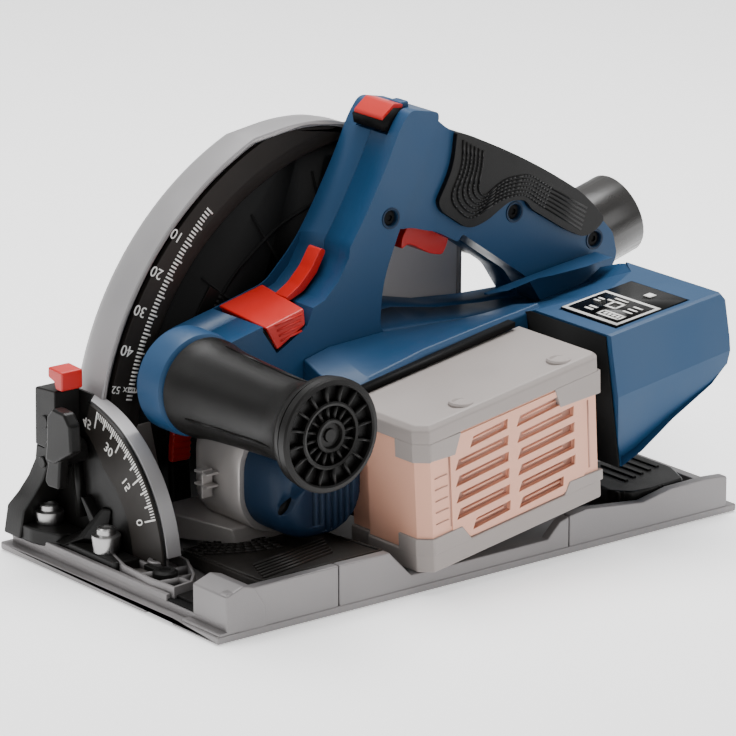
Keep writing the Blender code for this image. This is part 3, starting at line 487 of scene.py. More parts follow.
def make_front_bracket():
    low = 8.4
    edge = arc(BEVEL, 75.8, 178, 99, 44)
    plate_outline = [(91, low), (edge[0][0], low), *edge, (44, 90), (72, 90), (80, 60), (91, 30)]
    pieces = [prism("plate", plate_outline, "X", -144.6, -143, BLACK, 0.25)]
    inner = [(Vector(BEVEL) + Vector((math.cos(math.radians(a)), math.sin(math.radians(a)))) * (50 + max(0,
        120 - a) * 0.5)).to_tuple()
             for a in range(99, 178, 3)]
    pieces.append(prism("band", [*edge[1:-1], *inner], "X", -145.4, -144.2, SCALE, 0.3))
    block = rounded([(54.6, 60), (54.6, 92), (72, 90.6), (72.6, 60)], 1.2)
    pieces.append(prism("block", block, "X", -160.5, -145, BLACK, 0.9, 3))
    flare = []
    for z, y0, y1, front in ((60, 60, 72.8, -160), (52, 62, 74, -160), (42, 66, 79, -161),
        (32, 72, 85.5, -163), (24, 76, 91, -166), (9, 78, 92.6, -167.5)):
        flare.append([(front, y0, z), (front, y1, z), (-145, y1, z), (-145, y0, z)])
    pieces.append(bevel(loft("flare", flare, BLACK), 1.0, 3, 50))
    foot = rounded([(-166, 92), (-166, 70), (-161, 52), (-146, 50), (-146, 92)], 2)
    pieces.append(prism("foot", foot, "Z", low, 17, BLACK, 1.2, 3))
    pieces.append(prism("foot_edge", rounded([(-160.5, 52), (-160.5, 4), (-146, 2), (-146, 52)], 2), "Z", low,
        14.5, BLACK, 0.9, 3))
    ridge = [[(-163, 54, 13), (-163, 46, 13), (-150, 44, 13), (-150, 56, 13)],
        [(-155, 44, 17), (-155, 40, 17), (-147, 30, 15), (-147, 46, 20)],
             [(-147, 34, 33), (-147, 32, 33), (-145, 28, 33), (-145, 36, 33)]]
    pieces += [
        bevel(loft("ridge", ridge, BLACK), 0.8, 2, 40),
        prism("gusset", [(18, low), (46, 36), (49, 36), (30, low)], "X", -150, -144.4, BLACK, 0.6),
        bar((56, 58), (52, 24), 3.4, -149, -144.4, "X", BLACK),
    ]
    for y, z, radius in ((63.5, 74, 3.4), (66, 52, 3)):
        pieces.append(rod("boss", (y, z), "X", -161.6, -158, radius, BLACK))
    face = -145.4
    for degree in range(0, 46):
        length = 9.6 if degree % 15 == 0 else 6.4 if degree % 5 == 0 else 3.4
        turn = scale_turn(degree)
        way = Vector((math.cos(turn), math.sin(turn)))
        start = Vector(BEVEL) + way * 75.2
        width = 0.9 if degree % 5 == 0 else 0.55
        pieces.append(bar(tuple(start), tuple(start - way * length), width, face - 0.22, face + 0.1, "X",
            WHITE))
    for degree, spot, turn in ((0, (3.6, 32.6), 158), (15, (14.6, 49.8), 138), (30, (29.3, 64.4), 119),
        (45, (47.6, 74), 101)):
        lean = math.radians(180 - turn)
        right = Vector((0, math.sin(lean), math.cos(lean))) * -1
        up = Vector((0, math.cos(lean), -math.sin(lean)))
        size = 7.4
        width = size * 0.56 * len(str(degree))
        centre = Vector((face - 0.1, *spot))
        origin = centre - right * width / 2 - up * size * 0.35
        pieces.append(text("numeral", str(degree), size, origin, right, up, WHITE))
    on("base", merge("front_bracket", pieces), "front_bevel_bracket")
    knob = [rod("stem", (52, 60), "X", -163, -145.8, 6.6, BLACK, 1.2)]
    knob.append(rod("hub_ring", (52, 60), "X", -164, -161.8, 8.4, BLACK, 0.8))
    head = [(29, 67), (30, 81), (35, 86.5), (45, 87), (50, 82), (50.6, 67), (52, 58), (44, 58)]
    knob.append(prism("head", head, "X", -169, -161.9, BLACK, 1.5, 3))
    knob.append(prism("arm", [(40, 64), (49, 64), (54, 47), (51.5, 44), (42, 44.6)], "X", -168, -162, BLACK,
        1.3, 3))
    on("front_knob", merge("front_clamp_knob", knob), "front_bevel_knob")
    clip = [prism("clip", [(50.3, 92.4), (50.3, 102.4), (62.4, 103), (62.6, 97.6), (57.4, 96), (56, 92.4)],
        "X", -159, -146, RED, 0.9, 3)]
    on("bevel_stop", merge("bevel_catch", clip), "bevel_stop_clip")
    for side, x, places, top in (("front", -153, (22, 72), 22.4), ("rear", 143, (32, 82), 18)):
        for number, y in enumerate(places, 1):
            base = 14.6 if side == "front" else top + 0.4
            if side == "front" and number == 2:
                base = 17.2
            profile = [(0, top + 2.2), (2.4, top + 2.2), (2.8, top + 4.6), (4, top + 4.8), (4.8, top + 4),
                (5, top + 1.6),
                       (7.4, top + 1), (7.6, top + 0.2), (6.8, base), (0, base)]
            on("base", lathe(f"bolt_{side}_{number}", profile, (x, y), "Z", STEEL, 40),
                f"bracket_bolt_{side}_{number}")
    cam = [lathe("cam", [(0, 15.4), (2.6, 15.4), (3, 16.6), (5, 16.6), (6.4, 15.4), (6.8, 10), (6.8, 8.6),
        (0, 8.6)], (-150, -24), "Z", BLACK, 40)]
    cam.append(box("lever", (-152, -24, 12.4), (-148.4, -8.2, 15.6), BLACK, 0.8))
    on("cam", merge("rail_clamp_cam", cam), "rail_cam")


def make_quadrant():
    strip = arc(BEVEL, 76.2, 174, 94, 56) + arc(BEVEL, 70, 94, 174, 56)
    pieces = [prism("strip", strip, "X", -142.6, -133.8, GREY, 0.5, 2)]
    spoke = arc(BEVEL, 73, 112, 70, 10) + arc(BEVEL, 7, 60, -120, 12)
    pieces.append(prism("spoke", spoke, "X", -141, -137, BLACK, 0.4))
    on("guard", merge("front_quadrant", pieces), "bevel_quadrant_front")


# Guard


def guard_profile(amount):
    """The guard's edge seen along the blade axis, drawn in by an amount."""
    arch = arc((GUARD_CENTRE[0] - 4, GUARD_CENTRE[1] + 1), GUARD_RADIUS, 185.6, 114, 60)
    back = rounded([(-34, 206.6), (-14, 209.4), (10, 208.6), (34, 199), (60, 178), (90, 150),
        (GUARD_REAR, 134), (GUARD_REAR, 60), (GUARD_REAR, 33)], 22, 7)[8:-8]
    made = []
    for x, z in [*arch, *back, (GUARD_REAR, 34)]:
        way = Vector((x, z)) - Vector(GUARD_CENTRE)
        made.append((Vector(GUARD_CENTRE) + way * (1 - amount / way.length)).to_tuple())
    return made


def make_guard():
    sections = []
    for y, outer, inner in ((47, 0.7, 2.2), (47.5, 0, 3), (60, 0.2, 3.2), (68, 1.2, 4.2), (73, 3.4, 6.4),
        (77, 6.6, 9.6), (79.4, 10.4, 14), (80, 13, 15)):
        section = guard_profile(outer) + guard_profile(inner)[::-1]
        sections.append([(x, y, z) for x, z in section])
    rim = sharp(loft("rim", sections, GREY), 40)
    far = loft("far", [[(x, y, z) for x, z in guard_profile(amount)] for y, amount in ((77, 10), (80, 12.6))],
        GREY)
    flange = prism("flange", [(-22, 33), (-22, 62), (97, 62), (97, 33)], "Y", 79, 80, GREY, 0)
    line = loft("line", [[(x, y, z) for x, z in guard_profile(a) + guard_profile(a + 1.4)[::-1]] for y,
        a in ((46.6, 0.9), (47.1, 0.9))], CAST)
    on("guard", merge("blade_guard", [rim, far, flange, line]), "guard_shell")
    # The guard's inner wall, its spokes and its rings are near-black, painted shade inside the guard.
    wall = prism("wall", guard_profile(5), "Y", 52, 54, SHADE_BLACK, 0)
    path = arc(PLUNGE, 115, 154, 200, 16) + arc(PLUNGE, 86, 200, 154, 16)
    cut(wall, prism("path", path, "Y", 40, 60, SHADE_BLACK, 0), rod("bore", PLUNGE, "Y", 40, 60, 6.4, SHADE_BLACK))
    cut(wall, prism("front_wall", [(-134, 12), (-134, 40), (-60, 42), (-60, 12)], "Y", 52.1, 53.9, SHADE_BLACK, 0),
        join=True)
    # The rear panel takes the lighter guard grey, painted light on a face that sits in shadow.
    rear_face = prism("rear_face", [(26, 60), (26, 168), (60, 162), (90, 143), (96, 133), (96, 60)], "Y", 49,
        52.2, PAINTED_LIGHT_GREY, 0.8)
    lower_face = prism("lower_face", [(-128, 36), (-124, 66), (-104, 66), (-98, 36)], "Y", 50.6, 52.2,
        DARK_CAST, 0.5)
    pieces = [wall, rear_face, lower_face]
    for angle in (104, 122, 140, 158):
        way = Vector((math.cos(math.radians(angle)), math.sin(math.radians(angle))))
        pieces.append(bar(tuple(Vector(GUARD_CENTRE) + way * 70), tuple(Vector(GUARD_CENTRE) + way * 136),
            1.4, 51.5, 52.2, "Y", SHADE_BLACK))
    for radius in (120, 98):
        ring = arc(GUARD_CENTRE, radius, 176, 100, 36) + arc(GUARD_CENTRE, radius - 2, 100, 176, 36)
        pieces.append(prism("ring", ring, "Y", 51.4, 52.3, SHADE_BLACK, 0))
    inner = merge("guard_inner_face", pieces)
    cut(inner, prism("path", arc(PLUNGE, 112, 156, 198, 16) + arc(PLUNGE, 89, 198, 156, 16), "Y", 40, 60,
        SHADE_BLACK, 0))
    on("guard", inner, "guard_inner_wall")


def make_scale():
    def band(outer, inner):
        flat = 206 - (168 - outer)
        return [*arc(GUARD_CENTRE, outer, 182, 113, 48), (-14, flat), (9, flat - 1), (22, flat - 6),
            *arc(GUARD_CENTRE, inner, 95, 182, 48)]

    outer_face = prism("band", band(168, 155), "Y", 47.8, 50.6, SCALE, 0.4)
    steps = [[(x, y, z) for x, z in arc(GUARD_CENTRE, outer, 182, 94, 48) + arc(GUARD_CENTRE, inner, 94, 182,
        48)]
             for y, outer, inner in ((48.2, 155.4, 155), (50.8, 155.4, 147), (51.8, 155.4, 146))]
    pieces = [outer_face, loft("bank", steps, SCALE)]
    face = 47.8
    for depth in range(0, 53):
        turn = math.radians(134 + 0.634 * depth)
        way = Vector((math.cos(turn), math.sin(turn)))
        start = Vector(PLUNGE) + way * (182.4 if depth % 5 else 181)
        end = Vector(PLUNGE) + way * 186
        pieces.append(bar(tuple(start), tuple(end), 0.9, face - 0.22, face + 0.1, "Y", WHITE))
    for words, angle, size, radius in (("10", 140.5, 8, 193), ("20", 146.9, 8, 193), ("30", 153.2, 8, 193),
        ("40", 159.5, 8, 193), ("max 52", 165.6, 5.6, 189)):
        turn = math.radians(angle)
        right = Vector((math.cos(turn), 0, math.sin(turn)))
        up = Vector((-math.sin(turn), 0, math.cos(turn)))
        width = size * 0.55 * len(words)
        origin = Vector((PLUNGE[0], face - 0.1, PLUNGE[1])) + right * (radius - width / 2) - up * size * 0.35
        pieces.append(text("numeral", words, size, origin, right, up, WHITE))
    on("guard", merge("depth_scale", pieces), "guard_scale_cover")


def sector(inner, outer, start, end):
    return arc(PLUNGE, outer, start, end, 8) + arc(PLUNGE, inner, end, start, 8)


def make_depth_stop():
    rack = [prism("rack", sector(142.6, 155.4, 174, 144), "Y", 50.4, 51.6, BLACK, 0.2)]
    for i in range(30):
        turn = 174 - i
        rack.append(prism("tooth", sector(143, 147.5, turn, turn - 0.5), "Y", 49.9, 50.8, BLACK, 0))
    on("guard", merge("stop_rack", rack), "depth_rack")
    on("depth_stop", prism("stop_block", sector(143, 155, 187.6, 179), "Y", 45, 49.3, BLACK, 1.2, 3),
        "depth_stop_block")
    button = [prism("button", sector(143, 154.6, 178.7, 170.2), "Y", 45.4, 49.3, RED, 0.9, 3)]
    for i in range(6):
        button.append(prism("rib", sector(143.4, 154.2, 178 - i * 1.3, 177.3 - i * 1.3), "Y", 44.7, 46, RED,
            0.25))
    on("depth_stop", merge("stop_button", button), "depth_stop_button")


def make_dust_port():
    sections = []
    for x, z0, z1, y0, y1, corner in ((97.6, 121, 150, 55, 82, 5), (120, 113, 148, 53, 83, 7),
        (146, 100, 143, 50, 86, 12), (164, 92, 136, 47.5, 90, 17)):
        shape = rounded_square(((y0 + y1) / 2, (z0 + z1) / 2), (y1 - y0) / 2, (z1 - z0) / 2, corner, 9)
        sections.append([(x, y, z) for y, z in shape])
    rise = math.radians(15.5)
    along = Vector((math.cos(rise), 0, math.sin(rise)))
    upward = Vector((-math.sin(rise), 0, math.cos(rise)))
    end = Vector((224, 69, 118))
    for back, radius in ((48, 22.6), (40, 22.6), (1, 22.6), (0, 22), (0, 20.2), (46, 19.6)):
        middle = end - along * back
        ring = []
        for p in rounded_square((0, 0), radius, radius, radius * 0.999, 9):
            ring.append(tuple(middle + Vector((0, p[0], 0)) + upward * p[1]))
        sections.append(ring)
    duct = loft("duct", sections, PIPE)
    sharp(duct, 50)
    on("guard", duct, "dust_port")


# Swing unit


def split_halves(obj, plane, gap):
    """The piece as two, on either side of a plane across Y."""
    bake(obj)
    halves = []
    for sign in (-1, 1):
        work = bmesh.new()
        work.from_mesh(obj.data)
        geometry = list(work.verts) + list(work.edges) + list(work.faces)
        place = (plane + sign * gap / 2) * MM
        result = bmesh.ops.bisect_plane(work, geom=geometry, plane_co=(0, place, 0), plane_no=(0, 1, 0),
                                        clear_inner=sign > 0, clear_outer=sign < 0)
        edges = [e for e in result["geom_cut"] if isinstance(e, bmesh.types.BMEdge)]
        bmesh.ops.holes_fill(work, edges=edges, sides=0)
        mesh = bpy.data.meshes.new("half")
        work.to_mesh(mesh)
        work.free()
        half = bpy.data.objects.new("half", mesh)
        bpy.context.scene.collection.objects.link(half)
        for look in obj.data.materials:
            mesh.materials.append(look)
        halves.append(half)
    bpy.data.objects.remove(obj)
    return halves


def make_body():
    nose = [(-103, 69.5), (-114, 77), (-118.5, 90), (-113, 105), (-101, 114.5), (-68, 122)]
    column = [(-36, 130), (-17, 148), (-5, 166), (10, 192), (19, 211), (26, 219.5), (44.6, 215.6)]
    border = [(43.7, 208), (37, 194.5), (20.5, 162), (7.6, 131), (5.8, 107), (14, 100), (14, 85)]
    under = [(-20, 82), (-60, 80), (-88, 76)]
    corner = [8] * 6 + [5, 20, 12, 12, 6, 4, 3, 6, 12, 14, 12, 6, 3, 3, 9, 9, 9]
    outline = rounded([*nose, *column, *border, *under], corner[:len(nose + column + border + under)], 5)
    body = prism("body", outline, "Y", 1, 44, BLUE, 4.6, 2)
    cut(body, prism("bell", rounded_square(MOTOR, 30, 30, 24), "Y", -5, 50, BLUE, 0),
        box("trigger_gap", (31, 12, 128), (69, 32, 168), BLUE, 0))
    lever_gap = [(-69.4, 119), (-69.4, 140), (-62, 140), (-12, 172), (-14, 148.6), (-21, 137), (-30, 128.6),
        (-37.4, 126), (-41.2, 117), (-60.5, 106.2)]
    button_gap = [(13, 206), (21.6, 206.6), (30.6, 217.6), (35, 230), (4, 230)]
    cut(body, prism("lever_gap", lever_gap, "Y", -2, 43, BLUE, 0),
        prism("button_gap", button_gap, "Y", 9, 35, BLUE, 0))
    bar_outline = [(36, 190), (44, 212), (49, 207.5), (55, 203.5), (63, 199.6), (89, 187), (115, 172.5),
        (139, 157), (151, 146), (165, 131),
                   (168, 118), (160, 104), (118, 98), (106, 116.5), (62, 147.6), (59.5, 143.4), (45, 151.6),
                   (38, 153.4), (28, 156.6), (19, 157), (16, 166)]
    bar_piece = prism("bar", rounded(bar_outline, 3.5, 4), "Y", 3.4, 41.6, BLUE, 5, 4)
    cut(bar_piece, box("trigger_gap", (31, 12, 128), (69, 32, 162), BLUE, 0))
    screws = ((12.8, 164.6), (97.0, 153.4), (152.0, 129.4))
    for piece in (body, bar_piece):
        cut(piece, *[rod("well", place, "Y", -6, 6.4, 4.3, SHADE_BLACK, 0.1, 32) for place in screws])
    arm = []
    for x, near, far, low in ((2, 106, 110, 84), (30, 104.9, 111.5, 85.5), (60, 103, 104.5, 87.5),
        (90, 101.2, 101.5, 89.5), (118, 99.6, 100.5, 92), (150, 100, 100, 98)):
        arm.append([(x, 1, near - 2), (x, 2.6, near), (x, 30, far), (x, 44, far), (x, 44, low), (x, 1, low)])
    halves = []
    for piece in (body, bar_piece, bevel(loft("arm", arm, BLUE), 1.0, 3, 40)):
        halves.append(split_halves(piece, 22.5, 0.35))
    boss = lathe("boss", [(0, 1.4), (20, 1.2), (24, 1.6), (26.4, 3.4), (27.2, 7), (27.2, 20), (0, 20)], AUX,
        "Y", BLUE, 72)
    near = [pair[0] for pair in halves] + [boss, box("cap", (27.2, 12, 216), (33.6, 21.8, 221.2), BLUE, 1.2,
        3)]
    # Each screw well has darker blue walls and a near-black floor, painted shade down the well.
    for place, depth in zip(screws, (1, 3.4, 3.4)):
        near.append(lathe("well", [(0, depth + 2.8), (4.2, depth + 2.8), (4.2, depth + 0.5),
            (4.6, depth - 0.4), (5.6, depth - 0.5), (5.8, depth + 0.4), (5.8, depth + 3)], place, "Y", NAVY_AND_WELL_SHADE,
            40))
        near.append(rod("floor", place, "Y", depth + 2.2, depth + 2.8, 4.2, SHADE_BLACK, 0.1, 32))
    on("saw_unit", merge("body_near_half", near), "body_shell_near")
    on("saw_unit", merge("body_far_half", [pair[1] for pair in halves]), "body_shell_far")
    # The screws are near-black, painted shade deep in their wells.
    for number, (place, depth) in enumerate(zip(screws, (1, 3.4, 3.4)), 1):
        profile = [(0, depth + 2.6), (3.4, depth + 2.6), (3.4, depth + 1.3), (1.7, depth + 1.1),
            (1.6, depth + 2), (0, depth + 2)]
        on("saw_unit", lathe(f"screw_{number}", profile, place, "Y", SHADE_BLACK, 24), f"body_screw_{number}")


def make_lever_and_buttons():
    near = [(-67.9, 120.8), (-43.6, 127), (-42.6, 118.2), (-60.4, 108)]
    far = [(-67, 123.3), (-38.6, 129.9), (-38.2, 121), (-60, 111)]
    lever = [bevel(loft("saddle", [[(x, 0.4, z) for x, z in near], [(x, 42, z) for x, z in far]], RED), 1.1,
        3, 30)]
    tail = [(-42.5, 128.4), (-34, 133.4), (-26.2, 141.2), (-20, 151), (-16.6, 149.2), (-22.6, 138.4),
        (-31, 130.2), (-40.5, 126.4)]
    lever.append(prism("tail", rounded(tail, 1.4, 3), "Y", 17, 27, RED, 0.7, 2))
    for i in range(4):
        z = 113.4 + i * 2.9
        lever.append(bar((-58.5 - i * 1.2, z - 0.8), (-45.4, z + 2.2), 0.9, -0.2, 1.4, "Y", RED))
    # A near-black lining round the lever: painted shade in the gap between lever and body.
    shade = [(-69.1, 118.8), (-68, 119), (-44, 125.2), (-41.4, 117.4), (-60.6, 106.6)]
    lever.append(prism("gap", shade, "Y", 1.9, 40, SHADE_BLACK, 0))
    on("lever", merge("change_lever", lever), "blade_change_lever")
    hook = [(30, 141.6), (31, 149), (36, 156), (46, 158), (62, 148.4), (61, 140.5), (57.6, 134.6),
        (49, 136.8), (40, 142), (34.5, 144.6)]
    on("trigger", prism("trigger_key", rounded(hook, 2.4, 4), "Y", 14, 30, RED, 2.0, 4), "trigger")
    button = [(15.4, 210.4), (14.4, 215.6), (22.4, 221.8), (28.6, 220.4), (21.2, 209.6)]
    pad = [prism("pad", rounded(button, 1.2, 3), "Y", 10.4, 33.6, RED, 1.0, 3)]
    # A near-black rim under the pad: painted shade in the gap round the button.
    pad.append(prism("gap", [(15, 208.4), (14, 213.4), (21.6, 219.4), (29.2, 218.4), (21.4, 207.8)], "Y", 9.6,
        34.4, SHADE_BLACK, 0))
    on("lock_off", merge("button_cap", pad), "lock_off_button")


def make_grip():
    top = [(56, 203.4), (64, 200.6), (89.5, 188.4), (115.5, 174), (139.5, 158.4), (151, 147.6), (157, 140.6)]
    under = [(152, 135.8), (143, 132.4), (131, 138), (106, 154), (102, 159.6), (92, 160.8), (86, 158),
        (76, 152.6), (64, 150), (46, 162.6), (43.5, 168), (53.6, 185)]
    outline = rounded([*top, *under], [2, 9, 14, 14, 9, 5, 5, 4, 6, 9, 4, 4, 4, 4, 5, 7, 4, 3, 12], 5)
    sleeve = prism("sleeve", outline, "Y", 0.4, 44.6, RUBBER, 4.6, 4)
    cut(sleeve, box("trigger_gap", (31, 12.2, 120), (69, 31.8, 162), RUBBER, 0))
    pieces = [sleeve]
    for i in range(6):
        path = [(60 + 2.6 * i, 198.4 - 1.5 * i), (59.6 + 2.6 * i, 184), (50.5 + 3.8 * i, 168.4 + 0.4 * i),
            (64 + 2 * i, 154.6 + 2.2 * i),
                (86 + 0.4 * i, 163.4 + 2 * i), (101 + 0.9 * i, 163.4 + 1.9 * i),
                (110 + 0.9 * i, 156.6 + 1.9 * i), (140 + 0.8 * i, 137.4 + 2.2 * i)]
        pieces += ribbon(open_path(path, 7, 5), 1.0, -0.15, 1, "Y", RUBBER)
    on("saw_unit", merge("grip_cover", pieces), "rubber_grip")


def make_aux_handle():
    profile = [(0, 0.6), (25.2, 0.6), (25.6, 0), (25.6, -5), (24.6, -9), (23.4, -20), (22.2, -40),
        (21.2, -62), (21, -74), (21.8, -84),
               (24.4, -90.5), (27.6, -93.5), (28.4, -95), (28.4, -97.6), (0, -97.6)]
    grip = lathe("grip", profile, AUX, "Y", RUBBER, 96)
    pieces = [grip]
    for angle in (52, 232):
        for offset in (-13, 13):
            turn = math.radians(angle + offset * 2.3)
            for a, b, ra, rb in ((-14, -44, 23.9, 22.1), (-44, -80, 22.1, 21.3)):
                way = Vector((math.cos(turn), 0, math.sin(turn)))
                side = Vector((-math.sin(turn), 0, math.cos(turn)))
                centre = Vector((AUX[0], 0, AUX[1]))
                sections = []
                for y, radius in ((a, ra), (b, rb)):
                    middle = centre + way * radius + Vector((0, y, 0))
                    sections.append([tuple(middle + side * s + way * w) for s,
                        w in ((-0.8, -1), (0.8, -1), (0.5, 0.55), (-0.5, 0.55))])
                pieces.append(loft("line", sections, RUBBER))
    on("saw_unit", merge("side_grip", pieces), "aux_handle_grip")
    back = lathe("back", [(0, -98), (28.2, -98), (29, -99), (29, -103), (28.2, -104), (26.2, -104.4),
        (25.4, -103.6), (25.2, -99.6),
                          (0, -99.6)], AUX, "Y", BLACK, 96)
    hub_ring = lathe("ring", [(15.2, -99), (15.2, -103.6), (16.4, -104), (17.2, -103.4), (17.2, -99)], AUX,
        "Y", BLACK, 72)
    hub = lathe("hub", [(0, -103.2), (3.2, -103.2), (3.6, -102), (6, -102), (6.6, -104), (8, -104.3),
        (8.6, -103.6), (8.6, -99)], AUX, "Y", BLACK, 48)
    pieces = [back, hub_ring, hub]
    for i in range(16):
        turn = math.radians(i * 22.5 + 6)
        way = Vector((math.cos(turn), math.sin(turn)))
        centre = Vector(AUX)
        pieces.append(bar(tuple(centre + way * 17), tuple(centre + way * 25.6), 1.1, -103.6, -99.3, "Y",
            BLACK))
        pieces.append(bar(tuple(centre + way * 8.4), tuple(centre + way * 15.4), 1.1, -103, -99.3, "Y",
            BLACK))
    on("saw_unit", merge("side_grip_end", pieces), "aux_handle_cap")


def make_motor():
    steps = ((-20.4, 27, 22), (-24, 27, 22), (-40, 27, 22), (-46, 26.2, 21.5), (-49.6, 24, 20), (-51, 21, 18))
    sections = [[(x, y, z) for x, z in rounded_square(MOTOR, half, half, corner, 10)] for y, half,
        corner in steps]
    shell = sharp(loft("shell", sections, NAVY_AND_WELL_SHADE), 40)
    slot = rounded([(-97, 39.2), (-92.2, 41), (-88.4, 47.2), (-91, 50), (-95.6, 47)], 2.4, 4)
    cut(shell, prism("slot", slot, "Y", -60, -47, NAVY_AND_WELL_SHADE, 0))
    for i in range(7):
        x = -77.5 + i * 4
        z = 27 if i > 1 else 31
        cut(shell, prism("vent", rounded([(x - 0.9, z), (x + 0.9, z), (x + 0.9, 55), (x - 0.9, 55)], 0.8),
            "Y", -60, -48.2, NAVY_AND_WELL_SHADE, 0))
    # The slot's floor is near-black, painted shade inside the slot.
    on("saw_unit", merge("motor_cover", [shell, prism("slot_floor", slot, "Y", -47.6, -46.5, SHADE_BLACK, 0)]),
        "motor_housing")


def make_gear_case():
    stages = ((-19.9, -71, 50, 29.4, 29.4, 23.5), (-19, -71, 50, 30, 30, 24),
        (-10, -70.6, 50, 29.8, 30, 23.5), (4, -69.6, 49.6, 29.4, 30, 23),
              (16, -68.6, 49, 29.4, 30, 22), (21, -68.2, 49, 29, 29.6, 21), (22, -68.2, 49, 28, 28.6, 20))
    sections = []
    for y, x, z, half_x, half_z, corner in stages:
        sections.append([(a, y, b) for a, b in rounded_square((x, z), half_x, half_z, corner, 10)])
    bell = sharp(loft("bell", sections, BELL), 40)
    arm = prism("arm", rounded([(-52, 34), (-50, 74), (60, 53), (73, 40), (60, 27)], 10), "Y", 34, 44, BELL,
        1)
    cut(arm, rod("bore", PLUNGE, "Y", 30, 50, 6.4, BELL))
    nose = prism("nose", arc(SPINDLE, 15.8, 180, 360, 24) + [(-30, 40), (-60, 40)], "Y", 18, 44, BELL, 1)
    skirt = [[(-100, -12, 24), (-44, -12, 24), (-44, -12, 14), (-96, -12, 14)],
        [(-112, 43, 24), (-36, 43, 24), (-36, 43, 9), (-112, 43, 9)]]
    box_side = arc((-64, 50), 12, 60, 215, 20) + arc(SPINDLE, 15.8, 215, 400, 20)
    pieces = [bell, arm, nose, bevel(loft("skirt", skirt, BELL), 1.2, 2),
        prism("gearbox", box_side, "Y", 20, 44, DARK_CAST, 1)]
    for z in (44, 50.6):
        pieces.append(box("fork", (-107.5, -2, z), (-100, 9, z + 1.4), BELL, 0.4))
    pieces.append(box("fork_web", (-107.5, 2, 38), (-101, 3.6, 53), BELL, 0.4))
    on("saw_unit", merge("gear_housing", pieces), "gear_case")


def make_shoulder():
    """The blue flank between the handle and the battery, and the bay and ledge behind the pack, drawn
    near-black as painted shade.
    """
    sections = []
    for x, near, far in ((-44, 90, 100), (-28, 95.4, 104), (8, 103.6, 105.6), (40, 108.6, 104),
        (60, 111.4, 103), (74, 113.2, 103), (84, 114.6, 103)):
        sections.append([(x, 0.7, far), (x, 0.7, 84), (x, -34.4, 84), (x, -34.4, near - 2.4), (x, -32, near),
            (x, -12, (near + far) / 2 + 0.4)])
    flank = bevel(loft("flank", sections, BLUE), 0.8, 3, 30)
    ledge = [[(x, y, z) for y, z in ((-34.2, top - 3.4), (-34.2, top - 0.6), (-40, top - 0.6),
        (-40, top - 3.4))] for x, top in ((-40, 92.6), (62, 110.6))]
    bay = loft("bay", [[(-31, y, 20), (-34, y, 84.4), (58, y, 84.4), (58, y, 36)] for y in (-34.6, 0.6)],
        SHADE_BLACK)
    on("saw_unit", merge("battery_bay", [flank, bay, loft("ledge", ledge, SHADE_BLACK)]), "battery_dock")


